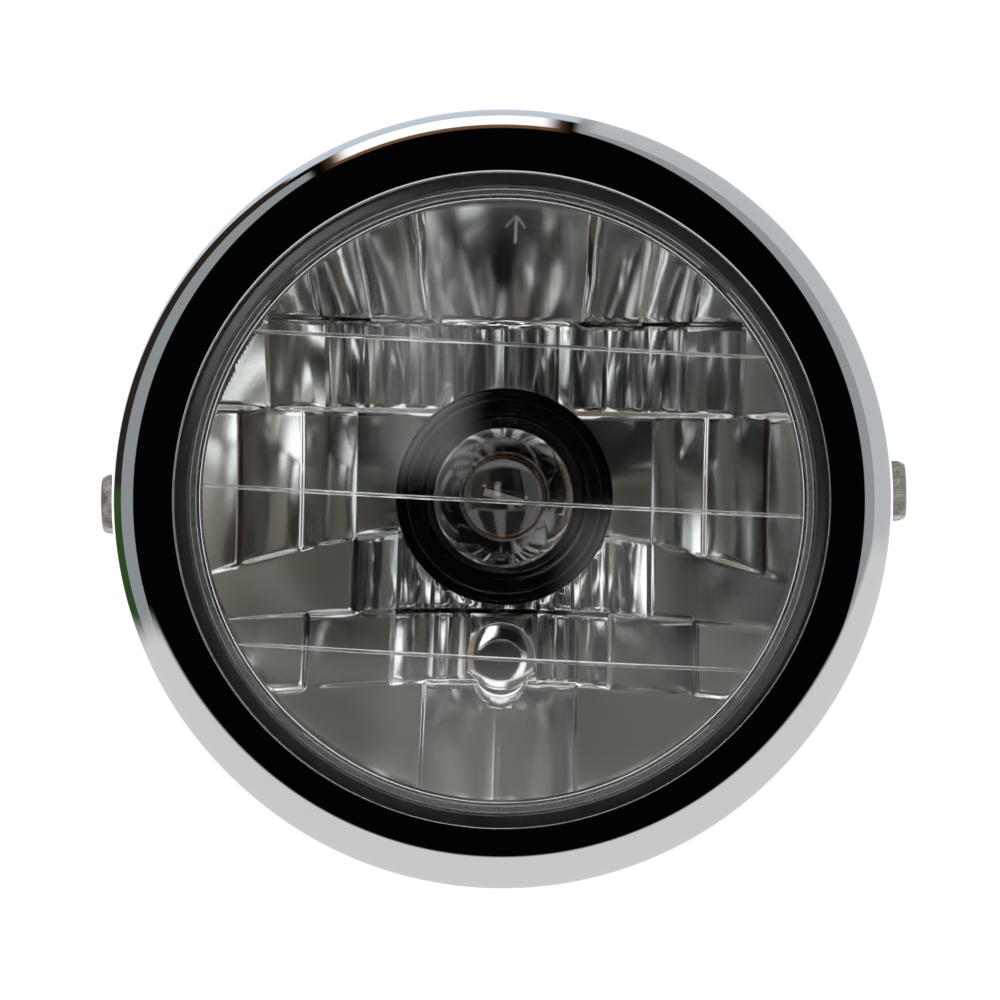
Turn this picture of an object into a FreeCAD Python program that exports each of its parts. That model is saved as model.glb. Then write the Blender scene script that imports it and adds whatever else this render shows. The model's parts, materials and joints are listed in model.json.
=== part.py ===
import FreeCAD, Part
import math
import os

# Round motorcycle headlight: a chrome-plated steel bowl and rim around a clear glass lens, a stepped and
# fluted mirror reflector, a two-filament bayonet bulb in its socket, and a welded nut on each side for the
# bracket bolts. Sizes are millimetres.
# Frame: +X to the right seen from in front of the lamp, +Y along the beam axis to the back, +Z up.
# The origin is where the line through the two side nuts crosses the beam axis.

# Rim, pressed from sheet
rim_radius = 90.0          # outside of the skirt
rim_sheet = 0.7
rim_bend = 0.1             # inside radius where the sheet turns sharply
rim_front = 42.0           # crown of the rim, ahead of the side nuts
rim_depth = 25.0           # crown to rear lip
rim_shoulder = 9.6         # outside radius from the skirt to the crown
rim_crown = 40.0           # radius of the gentle fall from the crown to the lens
rim_lip = 3.6              # width of the lip turned in at the back
rim_face = 15.2            # width of the rim seen from the front, from the skirt to the hole for the lens

# Bowl, pressed from sheet
bowl_sheet = 1.0
bowl_gap = 0.9             # round the bowl, inside the rim's lip
bowl_overlap = 5.5         # how far the mouth of the bowl goes inside the rim
bowl_flat = 24.0           # radius of the flat back
wiring_room = 15.0         # from the boot to the flat back
pad_radius = 11.0          # flat raised pad under each side nut
pad_height = 2.5
bolt_hole_radius = 4.4     # in the pad, for the end of the bracket bolt

# Side nuts, M8
nut_flats = 13.0
nut_height = 7.0
nut_bore_radius = 3.4
nut_chamfer = 2.4
nut_turn = -12.0           # degrees round the bolt axis

# Wire entry
entry_radius = 14.0        # hole in the bowl
grommet_bore_radius = 9.0
grommet_flange = 3.5       # wider than the hole by this much
grommet_flange_thickness = 2.5
grommet_fit = 0.1

# Lens and reflector unit
unit_inset = 6.5           # flanges of the lens and reflector, inside the rim's outer size
lip_gap = 0.5              # rim's curled edge to the lens
lens_flange = 4.2
lens_annulus = 3.2         # flat ring that shows between the rim and the raised part of the lens
lens_step = 3.6            # how far its wall stands out of the flange
lens_crown = 10.0          # rise of the dome above that wall
lens_wall = 2.4
lens_corner = 1.6
unit_turn = 2.0            # degrees clockwise from the front, the reflector sits a little out of true
lens_turn = 4.0            # degrees the same way, the lens was bonded in further round
rib_spacing = 35.6         # moulded lines across the inside of the lens
rib_width = 1.1
rib_height = 0.7
tab_width = 9.6            # raised locating tab at the foot of the lens
tab_length = 2.2
tab_height = 0.4
gasket_width = 5.0         # rubber ring between rim and lens
gasket_fit = 0.05
seal_offset = 0.6          # bead that bonds the lens to the reflector, outside the reflector's mouth
seal_width = 2.4
seal_thickness = 1.2
mouth_inset = 2.6          # mouth of the reflector, inside the raised part of the lens
focal_length = 21.0
reflector_flange = 2.5
shell_margin = 3.5         # reflector wall at the front, measured outward
shell_back = 3.0           # reflector wall at the back, measured along the axis
neck_bore_radius = 26.0
neck_wall = 3.5

# Facets of the reflector, row by row from the top.
# foot: height of the row's lower edge at the front of the reflector and at its depth.
# edges: where facets meet, outward from the centre line; the same on both sides.
# shift: how far each facet, from the centre line outward, lies behind the plain mirror curve.
# flute: extra hollow of each facet across its width. spread: how much wider the row is at its top.
facet_rows = [
    dict(foot=(41.3, 41.3), spread=0.14, edges=[18.2, 31.6, 42.6, 55.0],
         shift=[1.5, 0.0, 0.5, 0.0, 0.4], flute=[1.2, 0.6, 0.6, 0.6, 0.3]),
    dict(foot=(20.2, 20.2), spread=0.0, edges=[0.0, 12.1, 23.3, 32.9, 41.8, 54.9],
         shift=[1.2, 1.2, 1.2, 1.2, 1.2, 1.2], flute=[0.6, 0.6, 0.5, 0.5, 0.6, 0.4]),
    dict(foot=(-17.8, -7.5), spread=0.0, edges=[34.5, 47.4, 60.7],
         shift=[0.0, 0.0, 0.6, 0.0], flute=[0.0, 0.6, 0.6, 0.3]),
    dict(foot=(-28.4, -27.2), spread=0.0, edges=[0.0, 8.5, 16.7, 24.8, 34.9],
         shift=[1.2, 1.2, 1.2, 1.2, 0.2], flute=[0.4, 0.4, 0.4, 0.5, 0.3]),
    dict(foot=(-44.5, -43.1), spread=0.0, edges=[8.0, 15.5, 25.7, 45.2],
         shift=[0.2, 0.2, 0.2, 1.2, 0.0], flute=[0.4, 0.4, 0.5, 0.2, 0.2]),
    dict(spread=0.0, edges=[0.0, 17.9], shift=[1.4, 1.0], flute=[0.4, 0.2]),
]
ledge_width = 1.0          # sloping step between neighbouring facets
pilot_radius = 8.0         # round blank below the bulb, where a lamp with a pilot bulb has its hole
pilot_drop = 37.6          # below the beam axis
pilot_stand = 4.3          # its face, ahead of the mirror curve at its centre
pilot_flare = 0.55         # how fast the recess in front of it widens, where the mirror comes forward
pilot_wall = 2.0

# Bulb, bayonet cap of 20 mm with two filaments
globe_radius = 17.0
glass_wall = 0.8
bulb_neck_radius = 9.2
bulb_neck_round = 8.0
neck_bare = 0.36           # straight glass neck in front of the cap
bulb_turn = 17.0           # degrees, how the bulb sits in its socket
cap_sheet = 0.6
cap_fit = 0.2
cap_lead = 7.5             # glass inside the cap
cap_length = 20.5
pin_radius = 1.0
pin_reach = 2.0            # how far a locating pin stands out of the cap
pin_from_back = 6.7
insulator_thickness = 3.0
contact_radius = 2.2
contact_height = 1.0
contact_offset = 4.2
stem_fit = 0.2
stem_plate = 1.5
pinch_width = 11.4
pinch_thickness = 4.0
pinch_front = 9.0          # front of the stem, behind the filament centre
lead_radius = 0.4
filament_radius = 0.55
main_filament_length = 5.2
dip_filament_ahead = 4.0   # in front of the main filament
dip_filament_up = 1.6
shield_length = 9.4
shield_sheet = 0.4
shield_lip = 1.7           # front edge of the dip shield
shield_depth = 5.0

# Socket, collar and boot
collar_gap = 2.2           # black collar round the bulb, inside the neck
globe_gap = 2.6            # collar to the globe
collar_length = 12.0       # front face to the back of the neck
collar_flange = 10.0       # length that fits the neck
collar_fit = 0.2
collar_web = 4.0
collar_chamfer = 0.8
collar_groove = 1.0        # split line across the face, at each side
collar_groove_depth = 0.5
socket_fit = 0.4
socket_sheet = 0.8
socket_flange = 1.0
socket_flange_inset = 0.6  # inside the outer wall of the neck
socket_setback = 1.8       # front of the socket, behind the front of the cap
socket_lead = 6.0          # front of the socket to its flange
socket_length = 32.0
slot_fit = 0.3
slot_turn = 22.0           # degrees from the way in of the bayonet slot to its end
plate_thickness = 2.5
plate_fit = 0.3
rivet_radius = 1.2
rivet_fit = 0.2
rivet_tail = 4.0
spring_wire = 1.0
spring_turns = 2.0
boot_wall = 2.0
boot_fit = 0.3
boot_grip = 8.0            # length of the boot on the neck
boot_room = 1.8            # round the socket
boot_clear = 4.0           # behind the socket
boot_hole_radius = 6.0

# Retaining clips
clip_count = 4
clip_first = 45.0          # degrees round the rim
clip_width = 10.0
clip_sheet = 0.8
clip_fit = 0.1
clip_reach = 5.5           # onto the reflector's flange
clip_hook = 1.8

# Fixing of the rim to the bowl
lug_angle = -35.0          # degrees, right-hand lug; the left one is its mirror image
lug_width = 12.0
lug_sheet = 1.2
lug_fit = 0.3              # inside the bowl's wall, at the edges of the lug
lug_weld = 6.0             # length welded to the skirt
lug_lead = 2.5             # ahead of the bowl's mouth
lug_tail = 7.0             # beyond the screw
screw_behind_mouth = 12.5
screw_radius = 2.5
screw_hole_fit = 0.3
screw_head_radius = 4.6
screw_head_height = 3.2
screw_end = 2.0            # beyond the nut
washer_radius = 5.6
washer_thickness = 1.0
screw_nut_flats = 8.0
screw_nut_height = 4.0

# Sizes and places that follow from these, from the rim inward and from front to back
opening_radius = rim_radius - rim_face
unit_radius = rim_radius - unit_inset
lens_radius = opening_radius - lens_annulus
mouth_radius = lens_radius - mouth_inset
rim_front_y = -rim_front
rim_rear_y = rim_front_y + rim_depth
rim_edge = rim_sheet + rim_bend
crown_centre = (rim_radius - rim_shoulder, rim_front_y + rim_crown)
crown_to_curl = rim_crown - rim_edge
curl_radius = opening_radius + rim_edge
curl_angle = math.degrees(math.acos((crown_centre[0] - curl_radius) / crown_to_curl)) - 180.0
curl_centre = (curl_radius, crown_centre[1] + crown_to_curl * math.sin(math.radians(curl_angle)))
lens_front_y = curl_centre[1] + lip_gap
lens_back_y = lens_front_y + lens_flange
reflector_front_y = lens_back_y + seal_thickness
reflector_flange_y = reflector_front_y + reflector_flange
reflector_apex_y = reflector_front_y + mouth_radius**2 / (4 * focal_length)
focus_y = reflector_apex_y - focal_length
globe_to_neck = math.sqrt((globe_radius + bulb_neck_round) ** 2 - (bulb_neck_radius + bulb_neck_round) ** 2)
cap_radius = bulb_neck_radius + cap_fit + cap_sheet
cap_front_y = focus_y + globe_to_neck + neck_bare
glass_end_y = cap_front_y + cap_lead
cap_back_y = cap_front_y + cap_length
contact_end_y = cap_back_y + contact_height
plate_front_y = contact_end_y + contact_height
plate_back_y = plate_front_y + plate_thickness
socket_radius = cap_radius + socket_fit
socket_outer_radius = socket_radius + socket_sheet
socket_front_y = cap_front_y + socket_setback
socket_back_y = socket_front_y + socket_length
neck_radius = neck_bore_radius + neck_wall
neck_end_y = socket_front_y + socket_lead
collar_radius = neck_bore_radius - collar_gap
collar_bore_radius = globe_radius + globe_gap
collar_front_y = neck_end_y - collar_length
boot_end_y = socket_back_y + boot_clear
bowl_radius = rim_radius - rim_lip - bowl_gap
bowl_mouth_y = rim_rear_y - bowl_overlap
bowl_back_y = boot_end_y + wiring_room
bowl_round = bowl_radius - bowl_flat
bowl_round_y = bowl_back_y - bowl_round
pad_x = bowl_radius + pad_height
screw_y = bowl_mouth_y + screw_behind_mouth

origin = FreeCAD.Vector(0, 0, 0)
beam = FreeCAD.Vector(0, 1, 0)
sideways = FreeCAD.Vector(1, 0, 0)


def on_arc(centre, radius, degrees):
    """Point (radius from the axis, place along it) on a circle of the outline."""
    a = math.radians(degrees)
    return (round(centre[0] + radius * math.cos(a), 9), round(centre[1] + radius * math.sin(a), 9))


def arc(centre, radius, start, end):
    """Step of an outline that runs along an arc."""
    return ("arc", on_arc(centre, radius, (start + end) / 2), on_arc(centre, radius, end))


def outline(steps):
    """Closed flat face in the X-Y plane through points and arcs."""
    edges = []
    here = steps[0]
    for step in list(steps[1:]) + [steps[0]]:
        if step[0] == "arc":
            through, end = step[1], step[2]
            edges.append(Part.Arc(*[FreeCAD.Vector(*p, 0) for p in (here, through, end)]).toShape())
            here = end
        elif math.dist(here, step) > 1e-6:
            edges.append(Part.makeLine(FreeCAD.Vector(*here, 0), FreeCAD.Vector(*step, 0)))
            here = step
    return Part.Face(Part.Wire(edges))


def turned(steps):
    """Outline turned round the beam axis."""
    return outline(steps).revolve(origin, beam, 360)


def ring(inner, outer, front, back):
    return turned([(inner, front), (outer, front), (outer, back), (inner, back)])


def disc(radius, front, back):
    return Part.makeCylinder(radius, back - front, FreeCAD.Vector(0, front, 0), beam)


def along_x(radius, start, end, y=0.0, z=0.0):
    return Part.makeCylinder(radius, end - start, FreeCAD.Vector(start, y, z), sideways)


def strip(points, width):
    """Flat outline in the X-Y plane, made into a strip of that width centred on the plane."""
    face = outline(points)
    face.translate(FreeCAD.Vector(0, 0, -width / 2))
    return face.extrude(FreeCAD.Vector(0, 0, width))


def round_axis(shape, degrees):
    """Copy turned about the beam axis; positive lifts the right-hand side."""
    copy = shape.copy()
    copy.rotate(origin, beam, -degrees)
    return copy


def mirrored(shape):
    return shape.mirror(origin, sideways)


def hexagon(flats, height):
    """Hexagonal prism along +X from the plane x = 0."""
    corner = flats / math.sqrt(3)
    points = [FreeCAD.Vector(0, *on_arc((0, 0), corner, 60 * i)) for i in range(7)]
    return Part.Face(Part.makePolygon(points)).extrude(FreeCAD.Vector(height, 0, 0))


def make_rim():
    shoulder = (rim_radius - rim_shoulder, rim_front_y + rim_shoulder)
    heel = (rim_radius - rim_edge, rim_rear_y - rim_edge)
    lip = rim_radius - rim_lip
    return turned([
        (lip, rim_rear_y),
        (heel[0], rim_rear_y),
        arc(heel, rim_edge, 90, 0),
        (rim_radius, shoulder[1]),
        arc(shoulder, rim_shoulder, 0, -90),
        arc(crown_centre, rim_crown, -90, curl_angle),
        arc(curl_centre, rim_edge, curl_angle, -180),
        on_arc(curl_centre, rim_bend, -180),
        arc(curl_centre, rim_bend, -180, curl_angle),
        arc(crown_centre, rim_crown - rim_sheet, curl_angle, -90),
        arc(shoulder, rim_shoulder - rim_sheet, -90, 0),
        (rim_radius - rim_sheet, heel[1]),
        arc(heel, rim_bend, 0, 90),
        (lip, rim_rear_y - rim_sheet),
    ])


def bowl_body(inset):
    """Solid of revolution inside the bowl's outer surface, smaller by inset all round."""
    corner = (bowl_flat, bowl_round_y)
    return turned([
        (0, bowl_mouth_y),
        (bowl_radius - inset, bowl_mouth_y),
        (bowl_radius - inset, bowl_round_y),
        arc(corner, bowl_round - inset, 0, 90),
        (0, bowl_back_y - inset),
    ])


def make_bowl():
    pad = along_x(pad_radius, 0, pad_x)
    hollow = along_x(pad_radius - bowl_sheet, 0, pad_x - bowl_sheet)
    bolt_hole = along_x(bolt_hole_radius, 0, pad_x + 1)
    outside = bowl_body(0).fuse([pad, mirrored(pad)])
    inside = bowl_body(bowl_sheet).fuse([hollow, mirrored(hollow)])
    bowl = outside.cut(inside).cut([bolt_hole, mirrored(bolt_hole)])
    bowl = bowl.cut(disc(entry_radius, 0, bowl_back_y + 1))
    hole = along_x(screw_radius + screw_hole_fit, 0, bowl_radius + 1, screw_y)
    hole = round_axis(hole, lug_angle)
    return bowl.cut([hole, mirrored(hole)]).removeSplitter()


def make_side_nuts():
    nut = hexagon(nut_flats, nut_height)
    corner = nut_flats / math.sqrt(3)
    cone = Part.makeCone(corner + nut_height / 2, corner - nut_chamfer / 2, nut_height, origin, sideways)
    nut = nut.common(cone).cut(along_x(nut_bore_radius, -1, nut_height + 1))
    nut.rotate(origin, sideways, nut_turn)
    nut.translate(FreeCAD.Vector(pad_x, 0, 0))
    return Part.makeCompound([nut, mirrored(nut)])


def make_grommet():
    waist = entry_radius - grommet_fit
    flange = entry_radius + grommet_flange
    inside = bowl_back_y - bowl_sheet - grommet_fit
    outside = bowl_back_y + grommet_fit
    edge = grommet_flange_thickness / 3
    return turned([
        (grommet_bore_radius, inside - grommet_flange_thickness),
        (flange - edge, inside - grommet_flange_thickness),
        (flange, inside - grommet_flange_thickness + edge),
        (flange, inside),
        (waist, inside),
        (waist, outside),
        (flange, outside),
        (flange, outside + grommet_flange_thickness - edge),
        (flange - edge, outside + grommet_flange_thickness),
        (grommet_bore_radius, outside + grommet_flange_thickness),
    ])


def dome(inset, corner, wall_radius):
    """Sphere of the dome at a depth in the glass, and the rounding that joins it to the wall."""
    sphere = (lens_radius**2 + lens_crown**2) / (2 * lens_crown)
    centre_y = lens_front_y - lens_step - lens_crown + sphere
    radius = sphere - inset
    corner_r = wall_radius - corner
    angle = -math.degrees(math.acos(corner_r / (radius - corner)))
    corner_centre = on_arc((0, centre_y), radius - corner, angle)
    return (0, centre_y), radius, corner_centre, angle


def make_lens():
    centre, radius, corner, angle = dome(0, lens_corner, lens_radius)
    bore = lens_radius - lens_wall
    centre_in, radius_in, corner_in, angle_in = dome(lens_wall, lens_corner, bore)
    glass = turned([
        on_arc(centre, radius, -90),
        arc(centre, radius, -90, angle),
        arc(corner, lens_corner, angle, 0),
        (lens_radius, lens_front_y),
        (unit_radius, lens_front_y),
        (unit_radius, lens_back_y),
        (bore, lens_back_y),
        on_arc(corner_in, lens_corner, 0),
        arc(corner_in, lens_corner, 0, angle_in),
        arc(centre_in, radius_in, angle_in, -90),
    ])
    ribs = [lens_rib(i * rib_spacing, centre_in, radius_in) for i in (-1, 0, 1)]
    tab = Part.makeBox(
        tab_width, tab_height + lens_flange / 2, tab_length,
        FreeCAD.Vector(-tab_width / 2, lens_front_y - tab_height, lip_gap - opening_radius),
    )
    return round_axis(glass.fuse(ribs + [tab]), -lens_turn)


def lens_rib(z, centre, radius):
    """Moulded line across the inside of the dome at one height, rooted in the glass."""
    half = math.sqrt((lens_radius - lens_wall / 2) ** 2 - z * z)
    root = math.sqrt((radius + lens_wall / 2) ** 2 - z * z)
    crest = math.sqrt((radius - rib_height) ** 2 - z * z)
    root_angle = math.degrees(math.asin(half / root))
    crest_angle = math.degrees(math.asin(half / crest))
    rib = strip([
        on_arc(centre, root, -90 - root_angle),
        arc(centre, root, -90 - root_angle, -90 + root_angle),
        on_arc(centre, crest, -90 + crest_angle),
        arc(centre, crest, -90 + crest_angle, -90 - crest_angle),
    ], rib_width)
    rib.translate(FreeCAD.Vector(0, 0, z))
    return rib


def rim_inside_y(radius):
    """Inner face of the rim's front wall at a distance from the axis."""
    across = radius - crown_centre[0]
    bend = rim_crown if across < 0 else rim_shoulder
    return rim_front_y + bend - math.sqrt((bend - rim_sheet) ** 2 - across**2)


def make_gasket():
    inner = opening_radius + rim_edge + gasket_fit
    outer = inner + gasket_width
    front = max(rim_inside_y(inner), rim_inside_y(outer)) + gasket_fit
    return ring(inner, outer, front, lens_front_y)


def make_seal():
    inner = mouth_radius + seal_offset
    return ring(inner, inner + seal_width, lens_back_y, reflector_front_y)


def mirror_y(x, z):
    """Plain mirror curve of the reflector: a paraboloid about the beam axis."""
    return reflector_apex_y - (x * x + z * z) / (4 * focal_length)


def facets_across(row):
    """Facets of a row from left to right: (left edge, right edge, shift, flute)."""
    half = [edge for edge in row["edges"] if edge < mouth_radius]
    marks = half + [mouth_radius + ledge_width]
    first = 0 if half[0] == 0 else 1
    right = list(zip(marks[:-1], marks[1:], row["shift"][first:], row["flute"][first:]))
    left = [(-b, -a, shift, flute) for a, b, shift, flute in reversed(right)]
    middle = [] if half[0] == 0 else [(-half[0], half[0], row["shift"][0], row["flute"][0])]
    return left + middle + right


def facet_section(row, z, widen, open_y):
    """Outline of a row's hollow at one height: open to the front, with the facets along its back."""
    edges = []
    last = None
    for left, right, shift, flute in facets_across(row):
        a = left * widen + ledge_width / 2
        b = right * widen - ledge_width / 2
        start = FreeCAD.Vector(a, mirror_y(a, z) + shift, z)
        end = FreeCAD.Vector(b, mirror_y(b, z) + shift, z)
        middle = FreeCAD.Vector((a + b) / 2, mirror_y((a + b) / 2, z) + shift + flute, z)
        curve = Part.BezierCurve()
        curve.setPoles([start, middle * 2 - (start + end) / 2, end])
        edges.append(Part.makeLine(last, start) if last else None)
        edges.append(curve.toShape())
        last = end
        first = start if len(edges) == 2 else first
    front_right = FreeCAD.Vector(last.x, open_y, z)
    front_left = FreeCAD.Vector(first.x, open_y, z)
    edges.append(Part.makeLine(last, front_right))
    edges.append(Part.makeLine(front_right, front_left))
    edges.append(Part.makeLine(front_left, first))
    return Part.Wire([e for e in edges if e])


def row_slab(top, foot):
    """Space between a row's upper and lower ledges, from in front of the reflector to behind it."""
    front = reflector_front_y - seal_thickness
    deep = reflector_apex_y + shell_back

    def heights(edge):
        slope = (edge[1] - edge[0]) / (reflector_apex_y - reflector_front_y)
        start = edge[0] + slope * (front - reflector_front_y)
        return start, start + slope * (deep - front)

    high, low = heights(top), heights(foot)
    corners = [(front, low[0]), (deep, low[1]), (deep, high[1]), (front, high[0])]
    points = [FreeCAD.Vector(-2 * mouth_radius, y, z) for y, z in corners]
    face = Part.Face(Part.makePolygon(points + points[:1]))
    return face.extrude(FreeCAD.Vector(4 * mouth_radius, 0, 0)), min(low), max(high)


def make_reflector():
    outer_front = mouth_radius + shell_margin
    shell_apex_y = reflector_apex_y + shell_back
    fall = (shell_apex_y - reflector_flange_y) / outer_front**2
    start = FreeCAD.Vector(outer_front, reflector_flange_y, 0)
    end = FreeCAD.Vector(neck_radius, shell_apex_y - fall * neck_radius**2, 0)
    curve = Part.BezierCurve()
    handle = FreeCAD.Vector((start.x + end.x) / 2, start.y + fall * start.x * (start.x - end.x), 0)
    curve.setPoles([start, handle, end])
    corners = [(neck_radius, neck_end_y), (0, neck_end_y), (0, reflector_front_y),
               (unit_radius, reflector_front_y), (unit_radius, reflector_flange_y)]
    path = [end] + [FreeCAD.Vector(*p, 0) for p in corners] + [start]
    sides = [Part.makeLine(a, b) for a, b in zip(path[:-1], path[1:])]
    body = Part.Face(Part.Wire([curve.toShape()] + sides)).revolve(origin, beam, 360)

    mouth = disc(mouth_radius, reflector_front_y - seal_thickness, shell_apex_y)
    widest = mouth_radius + 2 * ledge_width
    beyond = 2 * mouth_radius
    edges = [(beyond, beyond)] + [row["foot"] for row in facet_rows[:-1]] + [(-beyond, -beyond)]
    for row, top, foot in zip(facet_rows, edges[:-1], edges[1:]):
        slab, low, high = row_slab(top, foot)
        low = max(low, -mouth_radius - ledge_width) - ledge_width
        high = min(high, mouth_radius + ledge_width) + ledge_width
        sections = []
        for share in (0.0, 0.5, 1.0):
            z = low + share * (high - low)
            widen = 1 + row["spread"] * share
            sections.append(facet_section(row, z, widen, mirror_y(widen * widest, widest)))
        hollow = Part.makeLoft(sections, True, False)
        body = body.cut(hollow.common(slab).common(mouth))
    blank, recess, hollow = pilot_blank()
    neck = disc(neck_bore_radius, reflector_front_y, neck_end_y + 1)
    body = body.fuse(blank).cut([recess, hollow, neck])
    return round_axis(body.removeSplitter(), -unit_turn)


def pilot_blank():
    """Round boss below the bulb, the flared recess in front of it, and the hollow in its back."""
    face = mirror_y(0, pilot_drop) - pilot_stand
    back = mirror_y(0, pilot_drop - pilot_radius) + shell_back
    reach = 2 * pilot_radius
    boss = disc(pilot_radius, face, back)
    hollow = disc(pilot_radius - pilot_wall, face + pilot_wall, back + 1)
    wide = pilot_radius + pilot_flare * reach
    recess = Part.makeCone(wide, pilot_radius, reach, FreeCAD.Vector(0, face - reach, 0), beam)
    for shape in (boss, recess, hollow):
        shape.translate(FreeCAD.Vector(0, 0, -pilot_drop))
    return boss, recess, hollow


def globe_outline(inset):
    """Bulb glass from its front to its neck, as steps at a depth in the glass."""
    radius = globe_radius - inset
    fillet = bulb_neck_round + inset
    reach = bulb_neck_radius + bulb_neck_round
    angle = math.degrees(math.atan2(globe_to_neck, reach))
    return [
        on_arc((0, focus_y), radius, -90),
        arc((0, focus_y), radius, -90, angle),
        arc((reach, focus_y + globe_to_neck), fillet, 180 + angle, 180),
        (bulb_neck_radius - inset, glass_end_y),
    ]


def make_bulb_glass():
    outer, inner = globe_outline(0), globe_outline(glass_wall)
    return turned(outer + [inner[-1], (0, glass_end_y), (0, focus_y)]).cut(
        turned(inner + [(0, glass_end_y)]))


def make_stem():
    plate = disc(bulb_neck_radius - glass_wall - stem_fit, glass_end_y - stem_plate, glass_end_y)
    front = focus_y + pinch_front
    pinch = Part.makeBox(
        pinch_width, glass_end_y - front, pinch_thickness,
        FreeCAD.Vector(-pinch_width / 2, front, -pinch_thickness / 2),
    )
    return round_axis(plate.fuse(pinch).removeSplitter(), -bulb_turn)


def make_filament(length, ahead, up):
    coil = along_x(filament_radius, -length / 2, length / 2, focus_y - ahead, up)
    return round_axis(coil, -bulb_turn)


def make_leads():
    leads = []
    spans = [(main_filament_length, 0.0, 0.0), (shield_length, dip_filament_ahead, dip_filament_up)]
    for length, ahead, up in spans:
        front = focus_y - ahead - lead_radius
        for side in (-1, 1):
            x = side * (length / 2 + lead_radius)
            back = focus_y + pinch_front
            leads.append(Part.makeCylinder(lead_radius, back - front, FreeCAD.Vector(x, front, up), beam))
    return round_axis(Part.makeCompound(leads), -bulb_turn)


def make_shield():
    front = focus_y - dip_filament_ahead - shield_depth / 2
    low = dip_filament_up - shield_lip - filament_radius
    size = FreeCAD.Vector(shield_length, shield_depth, shield_lip)
    tray = Part.makeBox(size.x, size.y, size.z, FreeCAD.Vector(-size.x / 2, front, low))
    hollow = Part.makeBox(
        size.x, size.y, size.z,
        FreeCAD.Vector(-size.x / 2, front + shield_sheet, low + shield_sheet),
    )
    return round_axis(tray.cut(hollow), -bulb_turn)


def make_cap():
    bore = bulb_neck_radius + cap_fit
    shell = ring(bore, cap_radius, cap_front_y, cap_back_y)
    pin_y = cap_back_y - pin_from_back
    for side in (-1, 1):
        start, end = sorted((side * (cap_radius - cap_sheet / 2), side * (cap_radius + pin_reach)))
        shell = shell.fuse(along_x(pin_radius, start, end, pin_y))
    return round_axis(shell, -bulb_turn)


def make_insulator():
    return disc(bulb_neck_radius, cap_back_y - insulator_thickness, cap_back_y)


def make_contacts():
    bumps = []
    for side in (-1, 1):
        foot = FreeCAD.Vector(side * contact_offset, cap_back_y, 0)
        bumps.append(Part.makeCylinder(contact_radius, contact_height, foot, beam))
    return round_axis(Part.makeCompound(bumps), -bulb_turn)


def make_collar():
    flange_y = neck_end_y - collar_flange
    flange = neck_bore_radius - collar_fit
    hub = socket_outer_radius + collar_fit
    body = turned([
        (collar_bore_radius, collar_front_y),
        (collar_radius - collar_chamfer, collar_front_y),
        (collar_radius, collar_front_y + collar_chamfer),
        (collar_radius, flange_y),
        (flange, flange_y),
        (flange, neck_end_y),
        (hub, neck_end_y),
        (hub, neck_end_y - collar_web),
        (collar_bore_radius, neck_end_y - collar_web),
    ])
    groove = Part.makeBox(
        2 * collar_radius, collar_groove_depth, collar_groove,
        FreeCAD.Vector(-collar_radius, collar_front_y, -collar_groove / 2),
    )
    return round_axis(body.cut(groove), -unit_turn)


def make_socket():
    outer = socket_outer_radius
    flange = neck_radius - socket_flange_inset
    stop = contact_offset + contact_radius
    shell = turned([
        (socket_radius, socket_front_y),
        (outer, socket_front_y),
        (outer, neck_end_y),
        (flange, neck_end_y),
        (flange, neck_end_y + socket_flange),
        (outer, neck_end_y + socket_flange),
        (outer, socket_back_y),
        (stop, socket_back_y),
        (stop, socket_back_y - socket_sheet),
        (socket_radius, socket_back_y - socket_sheet),
    ])
    pin_y = cap_back_y - pin_from_back
    half = pin_radius + slot_fit
    reach = outer + slot_fit
    entry = Part.makeBox(
        2 * reach, pin_y + half - socket_front_y + 1, 2 * half,
        FreeCAD.Vector(-reach, socket_front_y - 1, -half),
    )
    face = outline([(0, pin_y - half), (reach, pin_y - half), (reach, pin_y + half), (0, pin_y + half)])
    turn = face.revolve(origin, beam, slot_turn)
    across = turn.copy()
    across.rotate(origin, beam, 180)
    shell = shell.cut([round_axis(entry, -bulb_turn - slot_turn)])
    for leg in (turn, across):
        shell = shell.cut(round_axis(leg, -bulb_turn))
    return shell.cut([round_axis(along_x(half, -reach, reach, pin_y), -bulb_turn)])


def make_contact_plate():
    plate = disc(socket_radius - plate_fit, plate_front_y, plate_back_y)
    for side in (-1, 1):
        hole = Part.makeCylinder(
            rivet_radius + rivet_fit, plate_thickness,
            FreeCAD.Vector(side * contact_offset, plate_front_y, 0), beam,
        )
        plate = plate.cut(hole)
    return round_axis(plate, -bulb_turn)


def make_rivets():
    rivets = []
    for side in (-1, 1):
        foot = FreeCAD.Vector(side * contact_offset, contact_end_y, 0)
        head = Part.makeCylinder(contact_radius, contact_height, foot, beam)
        shank = Part.makeCylinder(rivet_radius, contact_height + plate_thickness + rivet_tail, foot, beam)
        rivets.append(head.fuse(shank).removeSplitter())
    return round_axis(Part.makeCompound(rivets), -bulb_turn)


def make_spring():
    front = plate_back_y
    back = socket_back_y - socket_sheet
    radius = socket_radius - plate_fit - spring_wire / 2
    rise = back - front - spring_wire
    helix = Part.makeHelix(rise / spring_turns, rise, radius)
    section = Part.makePolygon([
        FreeCAD.Vector(radius + dx * spring_wire / 2, 0, dz * spring_wire / 2)
        for dx, dz in ((-1, -1), (1, -1), (1, 1), (-1, 1), (-1, -1))
    ])
    coil = Part.Wire(helix.Edges).makePipeShell([section], True, True)
    coil.rotate(origin, sideways, -90)
    coil.translate(FreeCAD.Vector(0, front + spring_wire / 2, 0))
    return coil


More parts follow.
